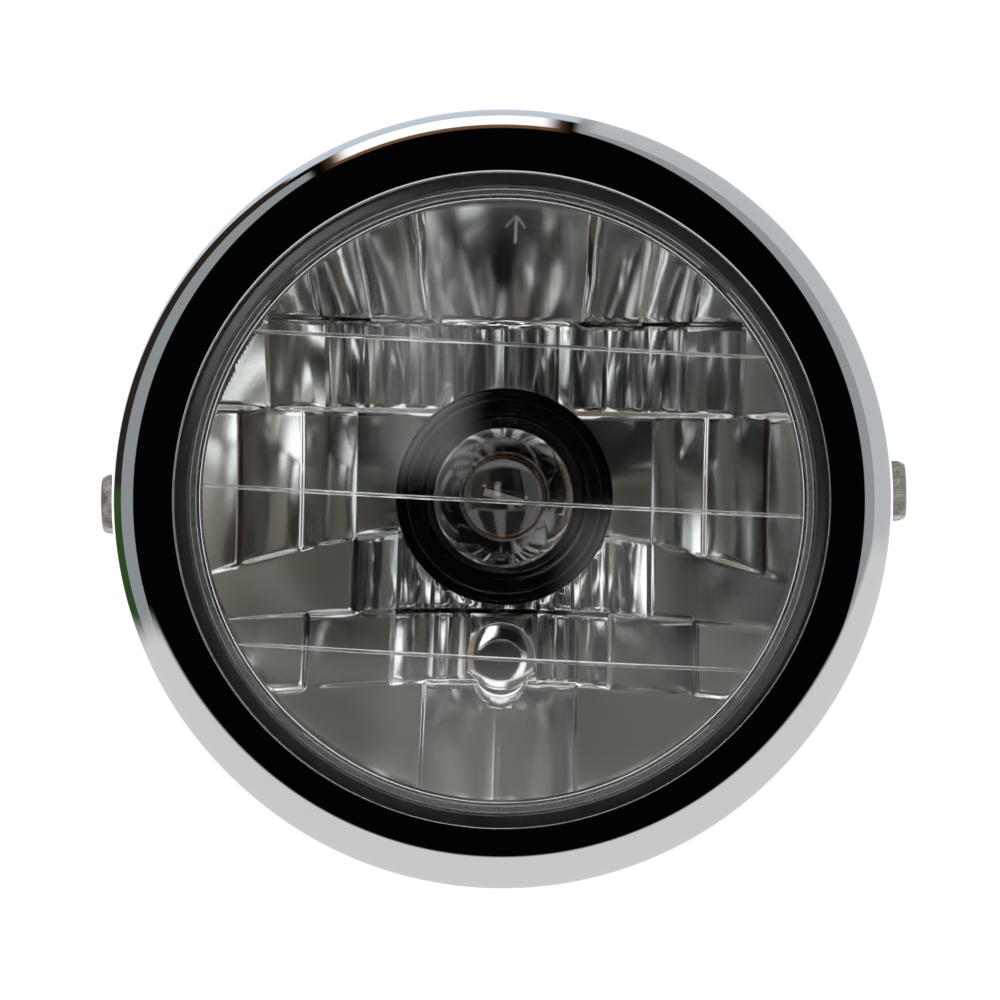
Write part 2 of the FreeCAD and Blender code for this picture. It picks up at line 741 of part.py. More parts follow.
def make_boot():
    grip = neck_radius + boot_fit
    start = neck_end_y - boot_grip
    shoulder = neck_end_y + socket_flange + boot_fit
    inside = socket_outer_radius + boot_room
    tail = inside + boot_wall
    taper_end = boot_end_y - tail / 2
    return turned([
        (grip, start),
        (grip + boot_wall, start),
        (grip + boot_wall, shoulder + boot_wall),
        (tail, taper_end),
        (tail, boot_end_y),
        (boot_hole_radius, boot_end_y),
        (boot_hole_radius, boot_end_y - boot_wall),
        (inside, boot_end_y - boot_wall),
        (inside, taper_end - boot_wall),
        (grip, shoulder),
    ])


def make_clip():
    """Spring clip at the right-hand side: hooked under the rim's lip, pressing on the reflector's flange."""
    back = rim_rear_y - rim_sheet - clip_fit
    front = reflector_flange_y + clip_fit
    half = clip_width / 2
    outer = math.sqrt((rim_radius - rim_sheet - clip_fit) ** 2 - half**2)
    shelf = unit_radius - clip_reach
    return strip([
        (outer - rim_bend, back),
        (outer, back - rim_bend),
        (outer, front),
        (shelf, front),
        (shelf, front + clip_sheet),
        (outer - clip_sheet, front + clip_sheet),
        (outer - clip_sheet, back - clip_sheet),
        (outer - clip_hook, back - clip_sheet),
        (outer - clip_hook, back),
    ], clip_width)


def lug_wall():
    """Distance of the lug's outer face from the beam axis, inside the bowl."""
    return math.sqrt((bowl_radius - bowl_sheet - lug_fit) ** 2 - (lug_width / 2) ** 2)


def make_lug():
    """Lug at the right-hand side, welded in the rim's skirt and bent round the mouth of the bowl."""
    weld = math.sqrt((rim_radius - rim_sheet) ** 2 - (lug_width / 2) ** 2)
    wall = lug_wall()
    bend = bowl_mouth_y - lug_lead
    lug = strip([
        (weld, bend),
        (wall, bend),
        (wall, screw_y + lug_tail),
        (wall - lug_sheet, screw_y + lug_tail),
        (wall - lug_sheet, bend - lug_sheet),
        (weld - lug_sheet, bend - lug_sheet),
        (weld - lug_sheet, bend - lug_weld),
        (weld, bend - lug_weld),
    ], lug_width)
    return lug.cut(along_x(screw_radius + screw_hole_fit, 0, rim_radius, screw_y))


def make_screw():
    nut_end = lug_wall() - lug_sheet - screw_nut_height
    seat = bowl_radius + washer_thickness
    shank = along_x(screw_radius, nut_end - screw_end, seat, screw_y)
    dome_radius = (screw_head_radius**2 + screw_head_height**2) / (2 * screw_head_height)
    ball = Part.makeSphere(dome_radius, FreeCAD.Vector(seat + screw_head_height - dome_radius, screw_y, 0))
    head = along_x(screw_head_radius, seat, seat + screw_head_height, screw_y).common(ball)
    slot = Part.makeBox(
        screw_head_height / 2, 2 * screw_head_radius, screw_head_height / 3,
        FreeCAD.Vector(seat + screw_head_height / 2, screw_y - screw_head_radius, -screw_head_height / 6),
    )
    return shank.fuse(head).cut(slot).removeSplitter()


def make_washer():
    body = along_x(washer_radius, bowl_radius, bowl_radius + washer_thickness, screw_y)
    return body.cut(along_x(screw_radius + screw_hole_fit, 0, rim_radius, screw_y))


def make_screw_nut():
    back = lug_wall() - lug_sheet
    nut = hexagon(screw_nut_flats, screw_nut_height)
    nut.translate(FreeCAD.Vector(back - screw_nut_height, screw_y, 0))
    return nut.cut(along_x(screw_radius, 0, rim_radius, screw_y))


def pair(shape):
    """One at the right-hand lug and its mirror image at the left."""
    right = round_axis(shape, lug_angle)
    return Part.makeCompound([right, mirrored(right)])


def build():
    right_lug = round_axis(make_lug(), lug_angle)
    parts = {
        "rim": make_rim(),
        "bowl": make_bowl(),
        "side_nuts": make_side_nuts(),
        "wire_grommet": make_grommet(),
        "lens": make_lens(),
        "lens_gasket": make_gasket(),
        "lens_seal": make_seal(),
        "reflector": make_reflector(),
        "bulb_glass": make_bulb_glass(),
        "bulb_stem": make_stem(),
        "bulb_leads": make_leads(),
        "main_filament": make_filament(main_filament_length, 0.0, 0.0),
        "dip_filament": make_filament(shield_length, dip_filament_ahead, dip_filament_up),
        "dip_shield": make_shield(),
        "bulb_cap": make_cap(),
        "cap_insulator": make_insulator(),
        "cap_contacts": make_contacts(),
        "bulb_collar": make_collar(),
        "socket": make_socket(),
        "contact_plate": make_contact_plate(),
        "contact_rivets": make_rivets(),
        "contact_spring": make_spring(),
        "socket_boot": make_boot(),
        "rim_lug_right": right_lug,
        "rim_lug_left": mirrored(right_lug),
        "rim_screws": pair(make_screw()),
        "screw_washers": pair(make_washer()),
        "screw_nuts": pair(make_screw_nut()),
    }
    for i in range(clip_count):
        parts[f"retaining_clip_{i + 1}"] = round_axis(make_clip(), clip_first + 360 / clip_count * i)
    return parts


os.makedirs("parts", exist_ok=True)
for name, shape in build().items():
    shape.exportStep(f"parts/{name}.step")
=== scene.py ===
import json
import math

import bmesh
import bpy
import numpy as np
from mathutils import Matrix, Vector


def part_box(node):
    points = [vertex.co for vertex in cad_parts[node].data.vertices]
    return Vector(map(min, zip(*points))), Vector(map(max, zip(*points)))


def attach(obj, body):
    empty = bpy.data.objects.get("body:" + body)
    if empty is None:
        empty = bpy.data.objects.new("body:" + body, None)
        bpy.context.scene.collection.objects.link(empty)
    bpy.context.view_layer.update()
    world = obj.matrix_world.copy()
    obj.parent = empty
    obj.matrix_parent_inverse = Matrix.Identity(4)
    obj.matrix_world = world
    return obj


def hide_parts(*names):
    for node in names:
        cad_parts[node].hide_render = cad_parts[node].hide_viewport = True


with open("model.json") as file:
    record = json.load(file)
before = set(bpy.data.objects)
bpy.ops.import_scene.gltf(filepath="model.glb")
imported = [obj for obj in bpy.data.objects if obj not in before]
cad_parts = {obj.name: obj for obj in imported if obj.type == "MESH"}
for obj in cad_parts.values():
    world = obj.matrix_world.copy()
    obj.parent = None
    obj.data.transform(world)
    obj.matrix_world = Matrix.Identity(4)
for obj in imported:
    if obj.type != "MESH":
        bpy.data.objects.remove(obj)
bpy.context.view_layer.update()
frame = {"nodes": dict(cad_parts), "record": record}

mm = 0.001
scene = bpy.context.scene
shortest = 0.004       # mm, points of an outline closer than this are one
weldDistance = 2e-7    # m, corners closer than this are one


def hexColor(code):
    values = [int(code[i:i + 2], 16) / 255 for i in (1, 3, 5)]
    linear = [v / 12.92 if v <= 0.04045 else ((v + 0.055) / 1.055) ** 2.4 for v in values]
    return (*linear, 1.0)


# an input is a value, an output of another node, or another node, which stands for its first output
def addNode(tree, kind, inputs=None, **settings):
    node = tree.nodes.new(kind)
    for name, value in settings.items():
        setattr(node, name, value)
    for key, value in (inputs or {}).items():
        if isinstance(value, bpy.types.Node):
            value = value.outputs[0]
        if isinstance(value, bpy.types.NodeSocket):
            tree.links.new(value, node.inputs[key])
        else:
            node.inputs[key].default_value = value
    return node


def newMaterial(name):
    material = bpy.data.materials.new(name)
    material.use_nodes = True
    material.node_tree.nodes.clear()
    coords = addNode(material.node_tree, "ShaderNodeTexCoord")
    return material, material.node_tree, coords.outputs["Object"]


# a material from its look: tone is a darker and a lighter colour, mixed by a noise; dull is a range of
# roughness that follows a noise between two of its values; bump is a strength and a depth in mm;
# grain is the size in mm and the detail of the noise
def makeMaterial(name, look):
    material, tree, place = newMaterial(name)
    noise = {}
    for use in ("tone", "dull", "bump"):
        grain = look.get(use, {}).get("grain")
        if grain and grain not in noise:
            size, detail = grain
            noise[grain] = addNode(tree, "ShaderNodeTexNoise", {
                "Vector": place, "Scale": 1 / (size * mm), "Detail": detail})
    inputs = {"Metallic": look.get("metallic", 0.0), "Transmission Weight": look.get("clear", 0.0)}
    if "ior" in look:
        inputs["IOR"] = look["ior"]
    if "tone" in look:
        tone = look["tone"]
        inputs["Base Color"] = addNode(tree, "ShaderNodeMix", {
            0: noise[tone["grain"]], 6: hexColor(tone["dark"]), 7: hexColor(tone["light"])},
            data_type="RGBA").outputs[2]
    else:
        inputs["Base Color"] = hexColor(look["color"])
    if "dull" in look:
        dull = look["dull"]
        inputs["Roughness"] = addNode(tree, "ShaderNodeMapRange", {
            "Value": noise[dull["grain"]], "From Min": dull["noise"][0], "From Max": dull["noise"][1],
            "To Min": dull["roughness"][0], "To Max": dull["roughness"][1]})
    else:
        inputs["Roughness"] = look["roughness"]
    if "bump" in look:
        bump = look["bump"]
        inputs["Normal"] = addNode(tree, "ShaderNodeBump", {
            "Height": noise[bump["grain"]], "Strength": bump["strength"],
            "Distance": bump["depth"] * mm})
    shader = addNode(tree, "ShaderNodeBsdfPrincipled", inputs)
    addNode(tree, "ShaderNodeOutputMaterial", {"Surface": shader})
    return material


# Plain dull plastic of the reflector moulding, where the mirror coat does not reach
mouldedBody = makeMaterial("mouldedPolyester", {
    "roughness": 0.6,
    "tone": {"grain": (1.2, 3.0), "dark": "#555b5c", "light": "#6b7274"},
    "bump": {"grain": (1.2, 3.0), "strength": 0.3, "depth": 0.1}})


# Black phenolic moulding and vitrite: deep black with a soft gloss and faint flow marks
def makeBlackGloss(name, dark, light, roughness):
    grain = (5, 4.0)
    return makeMaterial(name, {
        "tone": {"grain": grain, "dark": dark, "light": light},
        "dull": {"grain": grain, "noise": (0.3, 0.8), "roughness": roughness},
        "bump": {"grain": grain, "strength": 0.15, "depth": 0.1}})


# Metals of the small inner pieces: rolled or drawn, with a grain and some tarnish
def makeSmallMetal(name, dark, light, grainSize, roughness):
    grain = (grainSize, 4.0)
    return makeMaterial(name, {
        "metallic": 1.0, "roughness": roughness,
        "tone": {"grain": grain, "dark": dark, "light": light},
        "bump": {"grain": grain, "strength": 0.2, "depth": 0.05}})


# Blown bulb glass: thin and clear; the stem is lead glass, browned by the heat of the seal
def makeBulbGlass(name, tint, roughness, clear):
    return makeMaterial(name, {
        "color": tint, "roughness": roughness, "ior": 1.51, "clear": clear,
        "bump": {"grain": (9, 1.0), "strength": 0.15, "depth": 0.2}})


finish = {
    # Bright chrome plate on polished steel: a clean mirror. Wiping marks dull it in patches, and it has a
    # plating ripple about 4 mm long, well under a micron deep.
    "chrome_plate": makeMaterial("brightChromePlate", {
        "color": "#d8d9da", "metallic": 1.0,
        "dull": {"grain": (30, 3.0), "noise": (0.4, 0.75), "roughness": (0.015, 0.05)},
        "bump": {"grain": (4, 1.0), "strength": 0.05, "depth": 0.02}}),
    # Pressed soda-lime glass: clear with a breath of green, and a slow waviness left by the mould
    "lens_glass": makeMaterial("pressedSodaLimeGlass", {
        "color": "#fcfefd", "roughness": 0.0, "ior": 1.52, "clear": 1.0,
        "bump": {"grain": (18, 1.0), "strength": 0.1, "depth": 0.3}}),
    # Aluminised lacquer on a plastic moulding: a neutral mirror with a fine orange peel and a little haze
    "mirror_coating": makeMaterial("aluminisedLacquer", {
        "color": "#f0f0ef", "metallic": 1.0,
        "dull": {"grain": (14, 3.0), "noise": (0.3, 0.8), "roughness": (0.07, 0.095)},
        "bump": {"grain": (6, 2.0), "strength": 0.12, "depth": 0.05}}),
    "black_plastic": makeBlackGloss("blackPhenolic", "#07090a", "#14181b", (0.06, 0.16)),
    # Moulded rubber: near black, matt, with a dusty bloom and a fine skin
    "black_rubber": makeMaterial("mouldedBlackRubber", {
        "roughness": 0.62,
        "tone": {"grain": (7, 5.0), "dark": "#121212", "light": "#232322"},
        "bump": {"grain": (0.5, 2.0), "strength": 0.3, "depth": 0.05}}),
    # Silicone sealant: grey and slightly clear, mottled like a bead that was squeezed flat
    "grey_sealant": makeMaterial("greySilicone", {
        "roughness": 0.3, "ior": 1.41, "clear": 0.35,
        "tone": {"grain": (0.9, 3.0), "dark": "#8b918e", "light": "#d8dcd9"}}),
    # Zinc-plated steel, passivated: mottled warm grey, dull and pitted
    "zinc_steel": makeMaterial("zincPlatedSteel", {
        "metallic": 0.85,
        "tone": {"grain": (2.2, 5.0), "dark": "#6d6b66", "light": "#c9c6bd"},
        "dull": {"grain": (2.2, 5.0), "noise": (0.3, 0.7), "roughness": (0.55, 0.35)},
        "bump": {"grain": (0.8, 4.0), "strength": 0.6, "depth": 0.25}}),
    "spring_steel": makeSmallMetal("rolledSpringSteel", "#7c7f82", "#a5a8aa", 1.5, 0.35),
    "cap_brass": makeSmallMetal("tarnishedBrass", "#7a4a26", "#b58048", 2.5, 0.38),
    "solder": makeSmallMetal("leadTinSolder", "#8c8f92", "#b9bcbe", 1.0, 0.4),
    "bulb_glass": makeBulbGlass("blownBulbGlass", "#fdfefe", 0.0, 1.0),
    "black_glass": makeBlackGloss("vitrite", "#160b06", "#2b170d", (0.10, 0.22)),
    # Resin-bonded paper board: brown, dull, with a paper fibre
    "brown_board": makeMaterial("phenolicPaperBoard", {
        "roughness": 0.5,
        "tone": {"grain": (1.0, 4.0), "dark": "#4a2a14", "light": "#7a4c28"}}),
    "nickel_wire": makeSmallMetal("drawnNickelWire", "#b7b2a6", "#e6e1d4", 1.0, 0.3),
    "tungsten": makeSmallMetal("drawnTungsten", "#5d5e61", "#8d8e91", 0.6, 0.35),
}
# nodes whose look differs from the rest of their slot
ownFinish = {
    "bulb_stem": makeBulbGlass("brownedLeadGlass", "#4a2718", 0.28, 0.4),
    "dip_shield": makeSmallMetal("blastedNickel", "#d9d3c5", "#f2ede1", 0.8, 0.6),
}
print("materials made:", len(finish) + len(ownFinish) + 1)

# the slot of every CAD node, as the record has it
slotOfNode = {part["node"]: part["material_slot"] for part in frame["record"]["subparts"]}


def arc(centre, radius, start, end, steps):
    angles = [math.radians(start + (end - start) * i / steps) for i in range(steps + 1)]
    return [(centre[0] + radius * math.cos(a), centre[1] + radius * math.sin(a)) for a in angles]


def easeStep(t):
    t = np.clip(t, 0.0, 1.0)
    return t * t * (3 - 2 * t)


def addObject(name, data):
    thing = bpy.data.objects.new(name, data)
    scene.collection.objects.link(thing)
    return thing


def newMesh(name, verts, edges, faces):
    mesh = bpy.data.meshes.new(name)
    mesh.from_pydata(verts, edges, faces)
    return mesh


# turns an outline of (radius, y) points in millimetres round the beam axis
def lathe(name, outline, steps):
    points = [outline[0]]
    for point in outline[1:]:
        if math.dist(point, points[-1]) > shortest:
            points.append(point)
    verts, rings, faces = [], [], []
    for radius, y in points:
        start = len(verts)
        if radius < 1e-6:
            verts.append((0.0, y * mm, 0.0))
            rings.append([start])
            continue
        for k in range(steps):
            a = 2 * math.pi * k / steps
            verts.append((radius * mm * math.cos(a), y * mm, radius * mm * math.sin(a)))
        rings.append(list(range(start, start + steps)))
    pairs = list(zip(rings[:-1], rings[1:]))
    if len(rings[0]) > 1 and len(rings[-1]) > 1:
        pairs.append((rings[-1], rings[0]))
    for a, b in pairs:
        for k in range(steps):
            n = (k + 1) % steps
            corners = [a[k % len(a)], a[n % len(a)], b[n % len(b)], b[k % len(b)]]
            face = list(dict.fromkeys(corners))
            if len(face) > 2:
                faces.append(face)
    return newMesh(name, verts, [], faces)


# one mesh, or several as one, opened for editing
def openShape(*meshes):
    shape = bmesh.new()
    for mesh in meshes:
        shape.from_mesh(mesh)
    return shape


def closeShape(shape, mesh):
    shape.to_mesh(mesh)
    shape.free()
    return mesh


def tidyMesh(mesh, sharp=35):
    shape = openShape(mesh)
    bmesh.ops.remove_doubles(shape, verts=shape.verts, dist=weldDistance)
    bmesh.ops.recalc_face_normals(shape, faces=shape.faces)
    closeShape(shape, mesh)
    mesh.shade_smooth()
    mesh.set_sharp_from_angle(angle=math.radians(sharp))
    return mesh


def addPiece(name, mesh, slot, nodes=(), materials=None):
    piece = addObject(name, mesh)
    for material in materials or [finish[slot]]:
        mesh.materials.append(material)
    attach(piece, "root")
    if nodes:
        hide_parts(*nodes)


socketKinds = {float: "NodeSocketFloat", int: "NodeSocketInt", type(None): "NodeSocketMaterial"}


# a tree of geometry nodes with named inputs: a number each, or None for a material
def newTree(name, inputs):
    tree = bpy.data.node_groups.new(name, "GeometryNodeTree")
    tree.interface.new_socket("Geometry", in_out="INPUT", socket_type="NodeSocketGeometry")
    for inputName, value in inputs.items():
        socket = tree.interface.new_socket(inputName, in_out="INPUT", socket_type=socketKinds[type(value)])
        if value is not None:
            socket.default_value = value
    tree.interface.new_socket("Geometry", in_out="OUTPUT", socket_type="NodeSocketGeometry")
    return tree, addNode(tree, "NodeGroupInput").outputs


# every tree ends with real geometry and its material
def closeTree(tree, geometry, material):
    real = addNode(tree, "GeometryNodeRealizeInstances", {"Geometry": geometry})
    painted = addNode(tree, "GeometryNodeSetMaterial", {"Geometry": real, "Material": material})
    addNode(tree, "NodeGroupOutput", {"Geometry": painted})
    return tree


# runs a tree on a mesh with some inputs set, and gives back the plain mesh it makes, without materials
def runTree(tree, mesh, values):
    carrier = addObject("carrier", mesh)
    modifier = carrier.modifiers.new("nodes", "NODES")
    modifier.node_group = tree
    for item in tree.interface.items_tree:
        if item.item_type == "SOCKET" and item.in_out == "INPUT" and item.name in values:
            modifier[item.identifier] = values[item.name]
    depsgraph = bpy.context.evaluated_depsgraph_get()
    made = bpy.data.meshes.new_from_object(carrier.evaluated_get(depsgraph))
    carrier.modifiers.clear()
    bpy.data.objects.remove(carrier)
    made.materials.clear()
    return made


# deletes the faces inside a hole and moves the ragged edge onto it; spot gives a corner's place across the
# hole with the hole's edge at 1, or None where the corner is elsewhere, and place puts it back
def cutHole(shape, spot, place):
    inside = []
    for face in shape.faces:
        spots = [spot(v.co) for v in face.verts]
        if all(s is not None and math.hypot(*s) < 1 for s in spots):
            inside.append(face)
    bmesh.ops.delete(shape, geom=inside, context="FACES")
    edge = set()
    for vert in shape.verts:
        here = spot(vert.co)
        if here is not None and math.hypot(*here) < 1 + 1e-6:
            away = math.hypot(*here)
            place(vert, here[0] / away, here[1] / away)
            edge.add(vert)
    return [e for e in shape.edges if e.is_boundary and e.verts[0] in edge and e.verts[1] in edge]


# draws an open loop on to a new radius and depth round a centre on the beam's cross plane
def drawLoop(shape, edges, centre, radius, y, slot):
    made = bmesh.ops.extrude_edge_only(shape, edges=edges)["geom"]
    for vert in [g for g in made if isinstance(g, bmesh.types.BMVert)]:
        dx, dz = vert.co.x - centre[0], vert.co.z - centre[1]
        away = math.hypot(dx, dz)
        vert.co.x, vert.co.z = centre[0] + dx * radius / away, centre[1] + dz * radius / away
        vert.co.y = y
    for face in [g for g in made if isinstance(g, bmesh.types.BMFace)]:
        face.material_index = slot
    return [g for g in made if isinstance(g, bmesh.types.BMEdge)]


# clockwise seen from the front, as the lamp's unit sits in its rim
def turnMesh(mesh, degrees):
    a = math.radians(degrees)
    for vert in mesh.vertices:
        x, z = vert.co.x, vert.co.z
        vert.co.x = x * math.cos(a) + z * math.sin(a)
        vert.co.z = z * math.cos(a) - x * math.sin(a)
    return mesh


rimLow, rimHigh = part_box("rim")
rim = {
    "radius": rimHigh.x / mm,
    "frontY": rimLow.y / mm,
    "rearY": rimHigh.y / mm,
    "sheet": 0.7,
    "bend": 0.1,
    "shoulder": 9.6,
    "crown": 40.0,
    "face": 15.2,
    "lip": 3.6,
}


def rimCurl():
    edge = rim["sheet"] + rim["bend"]
    crown = (rim["radius"] - rim["shoulder"], rim["frontY"] + rim["crown"])
    radius = rim["radius"] - rim["face"] + edge
    angle = math.degrees(math.acos((crown[0] - radius) / (rim["crown"] - edge))) - 180
    centre = (radius, crown[1] + (rim["crown"] - edge) * math.sin(math.radians(angle)))
    return crown, centre, angle


def makeRim():
    edge = rim["sheet"] + rim["bend"]
    shoulder = (rim["radius"] - rim["shoulder"], rim["frontY"] + rim["shoulder"])
    heel = (rim["radius"] - edge, rim["rearY"] - edge)
    lip = rim["radius"] - rim["lip"]
    crown, curl, angle = rimCurl()
    outline = [(lip, rim["rearY"])]
    for bend in (
            (heel, edge, 90, 0, 8),
            (shoulder, rim["shoulder"], 0, -90, 40),
            (crown, rim["crown"], -90, angle, 16),
            (curl, edge, angle, -180, 8),
            (curl, rim["bend"], -180, angle, 6),
            (crown, rim["crown"] - rim["sheet"], angle, -90, 8),
            (shoulder, rim["shoulder"] - rim["sheet"], -90, 0, 16),
            (heel, rim["bend"], 0, 90, 4)):
        outline += arc(*bend)
    outline += [(lip, rim["rearY"] - rim["sheet"])]
    addPiece("chromeRim", tidyMesh(lathe("chromeRim", outline, 320)), "chrome_plate", ["rim"])


makeRim()
print("rim made")

bowlLow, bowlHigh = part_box("bowl")
bowl = {
    "radius": rim["radius"] - rim["lip"] - 0.9,
    "mouthY": bowlLow.y / mm,
    "backY": bowlHigh.y / mm,
    "padX": bowlHigh.x / mm,
    "sheet": 1.0,
    "flat": 24.0,
    "entry": 14.0,
    "padRadius": 11.0,
    "padFillet": 3.0,
    "padMargin": 0.5,
    "boltHole": 4.4,
    "wallSteps": 36,
    "bendSteps": 48,
    "around": 560,
}


def makeBowl():
    bend = bowl["radius"] - bowl["flat"]
    corner = (bowl["flat"], bowl["backY"] - bend)
    sheet = bowl["sheet"]
    steps, bends = bowl["wallSteps"], bowl["bendSteps"]
    wall = corner[1] - bowl["mouthY"]
    outer = [(bowl["radius"], bowl["mouthY"] + i * wall / steps) for i in range(steps)]
    outer += arc(corner, bend, 0, 90, bends) + [(bowl["entry"], bowl["backY"])]
    inner = [(bowl["entry"], bowl["backY"] - sheet)] + arc(corner, bend - sheet, 90, 0, bends)
    inner += [(bowl["radius"] - sheet, y) for r, y in reversed(outer[:steps])]
    mesh = lathe("chromeBowl", outer + inner, bowl["around"])
    # the wall is pressed out to a flat pad at each side
    reach = bowl["padRadius"] + bowl["padFillet"] / 2
    for vert in mesh.vertices:
        x, y, z = (c / mm for c in vert.co)
        away = math.hypot(y, z)
        if abs(x) < bowl["radius"] / 2 or away > reach + bowl["padMargin"]:
            continue
        depth = bowl["radius"] - math.hypot(x, z)
        share = easeStep((reach - away) / bowl["padFillet"])
        target = bowl["padX"] - min(depth, sheet) if depth < 2 * sheet else abs(x)
        vert.co.x = math.copysign(abs(x) + (target - abs(x)) * share, x) * mm
    # a bolt hole through each pad: one edge in the outer face, one in the inner, joined by a wall
    shape = openShape(mesh)
    hole = bowl["boltHole"] * mm

    def place(vert, y, z):
        vert.co.y, vert.co.z = y * hole, z * hole

    for side in (-1, 1):
        rings = []
        for depth in (0.0, sheet):
            def across(co):
                near = bowl["padX"] - abs(co.x) / mm - depth
                return (co.y / hole, co.z / hole) if co.x * side > 0 and abs(near) < sheet / 2 else None
            rings.append(cutHole(shape, across, place))
        bmesh.ops.bridge_loops(shape, edges=rings[0] + rings[1])
    closeShape(shape, mesh)
    addPiece("chromeBowl", tidyMesh(mesh), "chrome_plate", ["bowl"])


makeBowl()
print("bowl made")

lens = {
    "frontY": rimCurl()[1][1] + 0.5,
    "flange": 4.2,
    "unit": rim["radius"] - 6.5,
    "radius": rim["radius"] - rim["face"] - 3.2,
    "step": 3.6,
    "crown": 10.0,
    "wall": 2.4,
    "corner": 1.6,
    "stepRound": 0.8,
    "boreRound": 0.6,
    "turn": 4.0,
    "gap": 0.02,           # keeps faces that would lie on each other apart
    "lineSpacing": 35.6,
    "lineRadius": 0.45,
    "lineMargin": 1.0,
    "lineStep": 1.2,
    "markRadius": 0.32,
    # a plain arrow that says which way is up
    "mark": [[(0, 58.4), (0, 64.6)], [(-2.2, 62.2), (0, 64.9)], [(2.2, 62.2), (0, 64.9)]],
    "tabWidth": 9.6,
    "tabLength": 2.2,
    "tabHeight": 0.4,
    "tabEdge": 0.5,
}


def lensDome(inset, wallRadius):
    ball = (lens["radius"] ** 2 + lens["crown"] ** 2) / (2 * lens["crown"])
    centreY = lens["frontY"] - lens["step"] - lens["crown"] + ball
    radius = ball - inset
    angle = -math.degrees(math.acos((wallRadius - lens["corner"]) / (radius - lens["corner"])))
    reach = radius - lens["corner"]
    corner = (reach * math.cos(math.radians(angle)), centreY + reach * math.sin(math.radians(angle)))
    return (0, centreY), radius, corner, angle


# beads that follow the inside of the dome, drawn from flat lines
def makeBeadTree():
    tree, given = newTree("mouldedBeads", {
        "Ball Centre": 0.1, "Ball Radius": 0.2, "Bead Radius": 0.0005, "Step": 0.001, "Glass": None})
    curve = addNode(tree, "GeometryNodeMeshToCurve", {"Mesh": given["Geometry"]})
    fine = addNode(tree, "GeometryNodeResampleCurve", {
        "Curve": curve, "Length": given["Step"]}, mode="LENGTH")
    spot = addNode(tree, "GeometryNodeInputPosition")
    parts = addNode(tree, "ShaderNodeSeparateXYZ", {0: spot})
    flat = addNode(tree, "ShaderNodeCombineXYZ", {0: parts.outputs["X"], 2: parts.outputs["Z"]})
    away = addNode(tree, "ShaderNodeVectorMath", {0: flat, 1: flat}, operation="DOT_PRODUCT")
    square = addNode(tree, "ShaderNodeMath", {0: given["Ball Radius"], 1: 2.0}, operation="POWER")
    rest = addNode(tree, "ShaderNodeMath", {0: square, 1: away.outputs["Value"]}, operation="SUBTRACT")
    rise = addNode(tree, "ShaderNodeMath", {0: rest}, operation="SQRT")
    depth = addNode(tree, "ShaderNodeMath", {0: given["Ball Centre"], 1: rise}, operation="SUBTRACT")
    onDome = addNode(tree, "ShaderNodeCombineXYZ", {
        0: parts.outputs["X"], 1: depth, 2: parts.outputs["Z"]})
    laid = addNode(tree, "GeometryNodeSetPosition", {"Geometry": fine, "Position": onDome})
    upright = addNode(tree, "GeometryNodeSetCurveNormal", {"Curve": laid}, mode="Z_UP")
    circle = addNode(tree, "GeometryNodeCurvePrimitiveCircle", {
        "Resolution": 24, "Radius": given["Bead Radius"]}, mode="RADIUS")
    bead = addNode(tree, "GeometryNodeCurveToMesh", {
        "Curve": upright, "Profile Curve": circle, "Fill Caps": True})
    smooth = addNode(tree, "GeometryNodeSetShadeSmooth", {"Geometry": bead})
    return closeTree(tree, smooth, given["Glass"])


def lineMesh(name, lines):
    verts, edges = [], []
    for line in lines:
        start = len(verts)
        verts += [(x * mm, 0.0, z * mm) for x, z in line]
        edges += [(start + i, start + i + 1) for i in range(len(line) - 1)]
    return newMesh(name, verts, edges, [])


